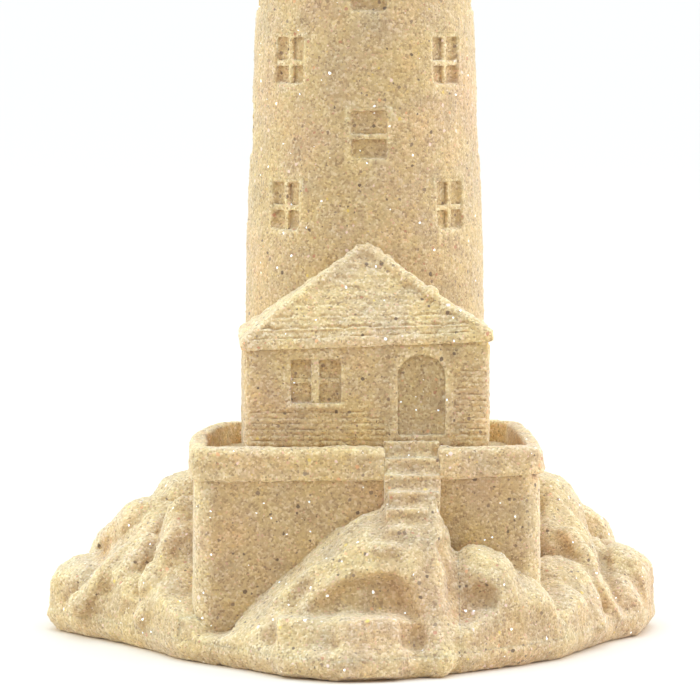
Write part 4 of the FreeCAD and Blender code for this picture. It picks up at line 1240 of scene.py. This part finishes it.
# %% Door and window
DOOR_RECIPE = (0.16, 2, 0.15, 0.15, 0.12)
DOOR_GROWTH = (1.0, 0, 1.0)
WINDOW_RECIPE = (0.16, 3, 0.15, 0.15, 0.12)
WINDOW_GROWTH = (1.9, 0, 1.7)
WINDOW_SINK = 0.3
MULLION = ((-8.75, -27.3, 37.0), (-7.6, -26.3, 43.7))


def window():
    sash = grown(copy_of("cottage_window"), WINDOW_GROWTH)
    bpy.ops.transform.translate(value=(0, WINDOW_SINK * MM, 0))
    freeze()
    make("window_cast", "cottage_window", [sash, block(*MULLION)], WINDOW_RECIPE)


parts = [grown(copy_of("cottage_door"), DOOR_GROWTH)]
# Painted shade: the door's sand is drawn darker.
make("door_cast", "cottage_door", parts, DOOR_RECIPE, material=painted_shade_sand)
window()

# %% [markdown]
# ## Cottage roof
# A hipped roof leans against the tower, in courses that fade towards the peak. Rough mortar lies along
# its hips, with a few larger lumps and a small knob and spike at the peak. The eave hangs lower at the
# left. The mortar could be sculpted; rods and balls along the hips, melted in by the skin, come out
# the same in every run. The eave is tilted after the courses, so that they tilt with it.

# %% Mortar of the roof
PEAK = (-0.7, -17.6, 58.9)
# Lower ends of the two front hips, with the radius of their mortar.
HIP_FEET = [((-18.3, -27.4, 46.4), 0.75), ((16.9, -27.4, 46.4), 1.0)]
HIP_LUMPS = [
    ((-7.0, -21.4, 54.5), 0.9), ((-10.5, -23.3, 51.9), 0.9), ((5.5, -21.3, 54.4), 1.3),
    ((8.7, -22.9, 52.6), 1.3), ((11.1, -24.5, 50.0), 1.2), ((-18.3, -27.2, 45.9), 0.7),
    ((16.6, -27.2, 46.0), 0.8),
]
PEAK_LUMPS = [((-1.5, -17.9, 58.2), 0.9), ((1.0, -17.9, 58.1), 1.0), ((2.6, -18.4, 57.0), 1.0)]
SPIKE = ((-1.6, -17.9, 58.2), (-1.8, -17.9, 59.6), 0.8, 0.25)


def mortar():
    """Spike, knobs and lumps of mortar, and a bead of it down each front hip."""
    parts = [rod(*SPIKE)]
    for place, radius in HIP_LUMPS + PEAK_LUMPS:
        parts.append(ball(place, radius))
    for foot, radius in HIP_FEET:
        parts.append(rod(foot, PEAK, radius, radius))
    return parts


print("lumps of mortar:", len(HIP_LUMPS + PEAK_LUMPS))

# %% Cottage roof
ROOF_RECIPE = (0.2, 3, 0.35, 0.2, 0.16)
FASCIA_TOP = 46.5
ROOF_COURSE = 1.445
ROOF_COURSE_START = FASCIA_TOP + 0.35
ROOF_COURSE_DEPTH = 0.4
FACING_SLOPE = (0, -0.79, 0.61)
TILES_FOOT = 46.9
TILES_HALF = 17.5
TILES_NARROWING = 1.3
TILES_TOP = 52.4
TILES_FADE = 4.0
EAVE_TILT = 0.035
TILT_MIDDLE = -1.5
TILT_END = 51.0


def tiled(x, y, z):
    """Where the roof shows its courses: clearly above the eave, less and less towards the peak."""
    half = TILES_HALF - TILES_NARROWING * (z - FASCIA_TOP)
    inside = (z > TILES_FOOT) & (np.abs(x - MIDDLE) < half)
    return inside * np.clip((TILES_TOP - z) / TILES_FADE, 0, 1)


def tilt_eave(piece):
    """The eave hangs lower at the left and higher at the right, more so the lower it is."""
    for point in piece.data.vertices:
        share = min(1.0, max(0.0, (TILT_END - point.co.z / MM) / (TILT_END - FASCIA_TOP)))
        point.co.z += (point.co.x - TILT_MIDDLE * MM) * EAVE_TILT * share


def press_roof(piece):
    course(piece, tiled, FACING_SLOPE, ROOF_COURSE, ROOF_COURSE_START, ROOF_COURSE_DEPTH)
    tilt_eave(piece)


parts = [copy_of("cottage_roof")] + mortar()
# Painted light: the roof's sand is drawn lighter.
make("roof_cast", "cottage_roof", parts, ROOF_RECIPE, press_roof, material=painted_light_sand)

# %% [markdown]
# ## Tower and its windows
# The round shaft tapers with a slight belly, and five rows of window recesses stand staggered round it.
# A recess could be painted dark, but in the low side light its edges have to be real. In each sits a
# sash with glazing bars. The sashes are stretched until their outer frames vanish in the wall, because
# on the real figure only the bars stand out, and sunk a little to keep the bars soft.

# %% Tower and its windows
TOWER_RECIPE = (0.34, 2, 0.25, 0.2, 0.18)
SASH_RECIPE = (0.2, 2, 0.2, 0.2, 0.14)
SASH_STRETCH = (1.36, 1.36, 1.26)
SASH_SINK = 0.12 * MM


def sashes():
    for node in sorted(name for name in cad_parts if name.startswith("tower_window")):
        sash = copy_of(node)
        bpy.ops.object.origin_set(type="ORIGIN_GEOMETRY", center="BOUNDS")
        sash.scale = SASH_STRETCH
        sash.location *= 1 - SASH_SINK / sash.location.xy.length
        freeze()
        make(node.replace("tower_window", "sash"), node, [sash], SASH_RECIPE)


make("tower_cast", "tower_shaft", [copy_of("tower_shaft")], TOWER_RECIPE)
sashes()

# %% [markdown]
# ## Gallery and lantern
# The photograph ends below the gallery, so the head follows the usual form of such a tower: a flared
# corbel, a deck with its wall, the lantern room, its roof and a finial. Nothing is known of its surface,
# so its pieces are cast much like the tower, with a finer skin where the forms are smaller.

# %% Gallery and lantern
HEAD_SURFACE = (0.25, 0.2, 0.16)
# Each row has the new piece, its node, the voxel of its skin and its steps of wear.
HEAD = [
    ("corbel_cast", "gallery_corbel", 0.4, 2), ("deck_cast", "gallery_deck", 0.4, 1),
    ("gallery_cast", "gallery_parapet", 0.3, 1), ("lantern_cast", "lantern_room", 0.3, 1),
    ("lantern_roof_cast", "lantern_roof", 0.35, 1), ("finial_cast", "finial", 0.25, 1),
]
for name, node, voxel, wear in HEAD:
    make(name, node, [copy_of(node)], (voxel, wear) + HEAD_SURFACE)
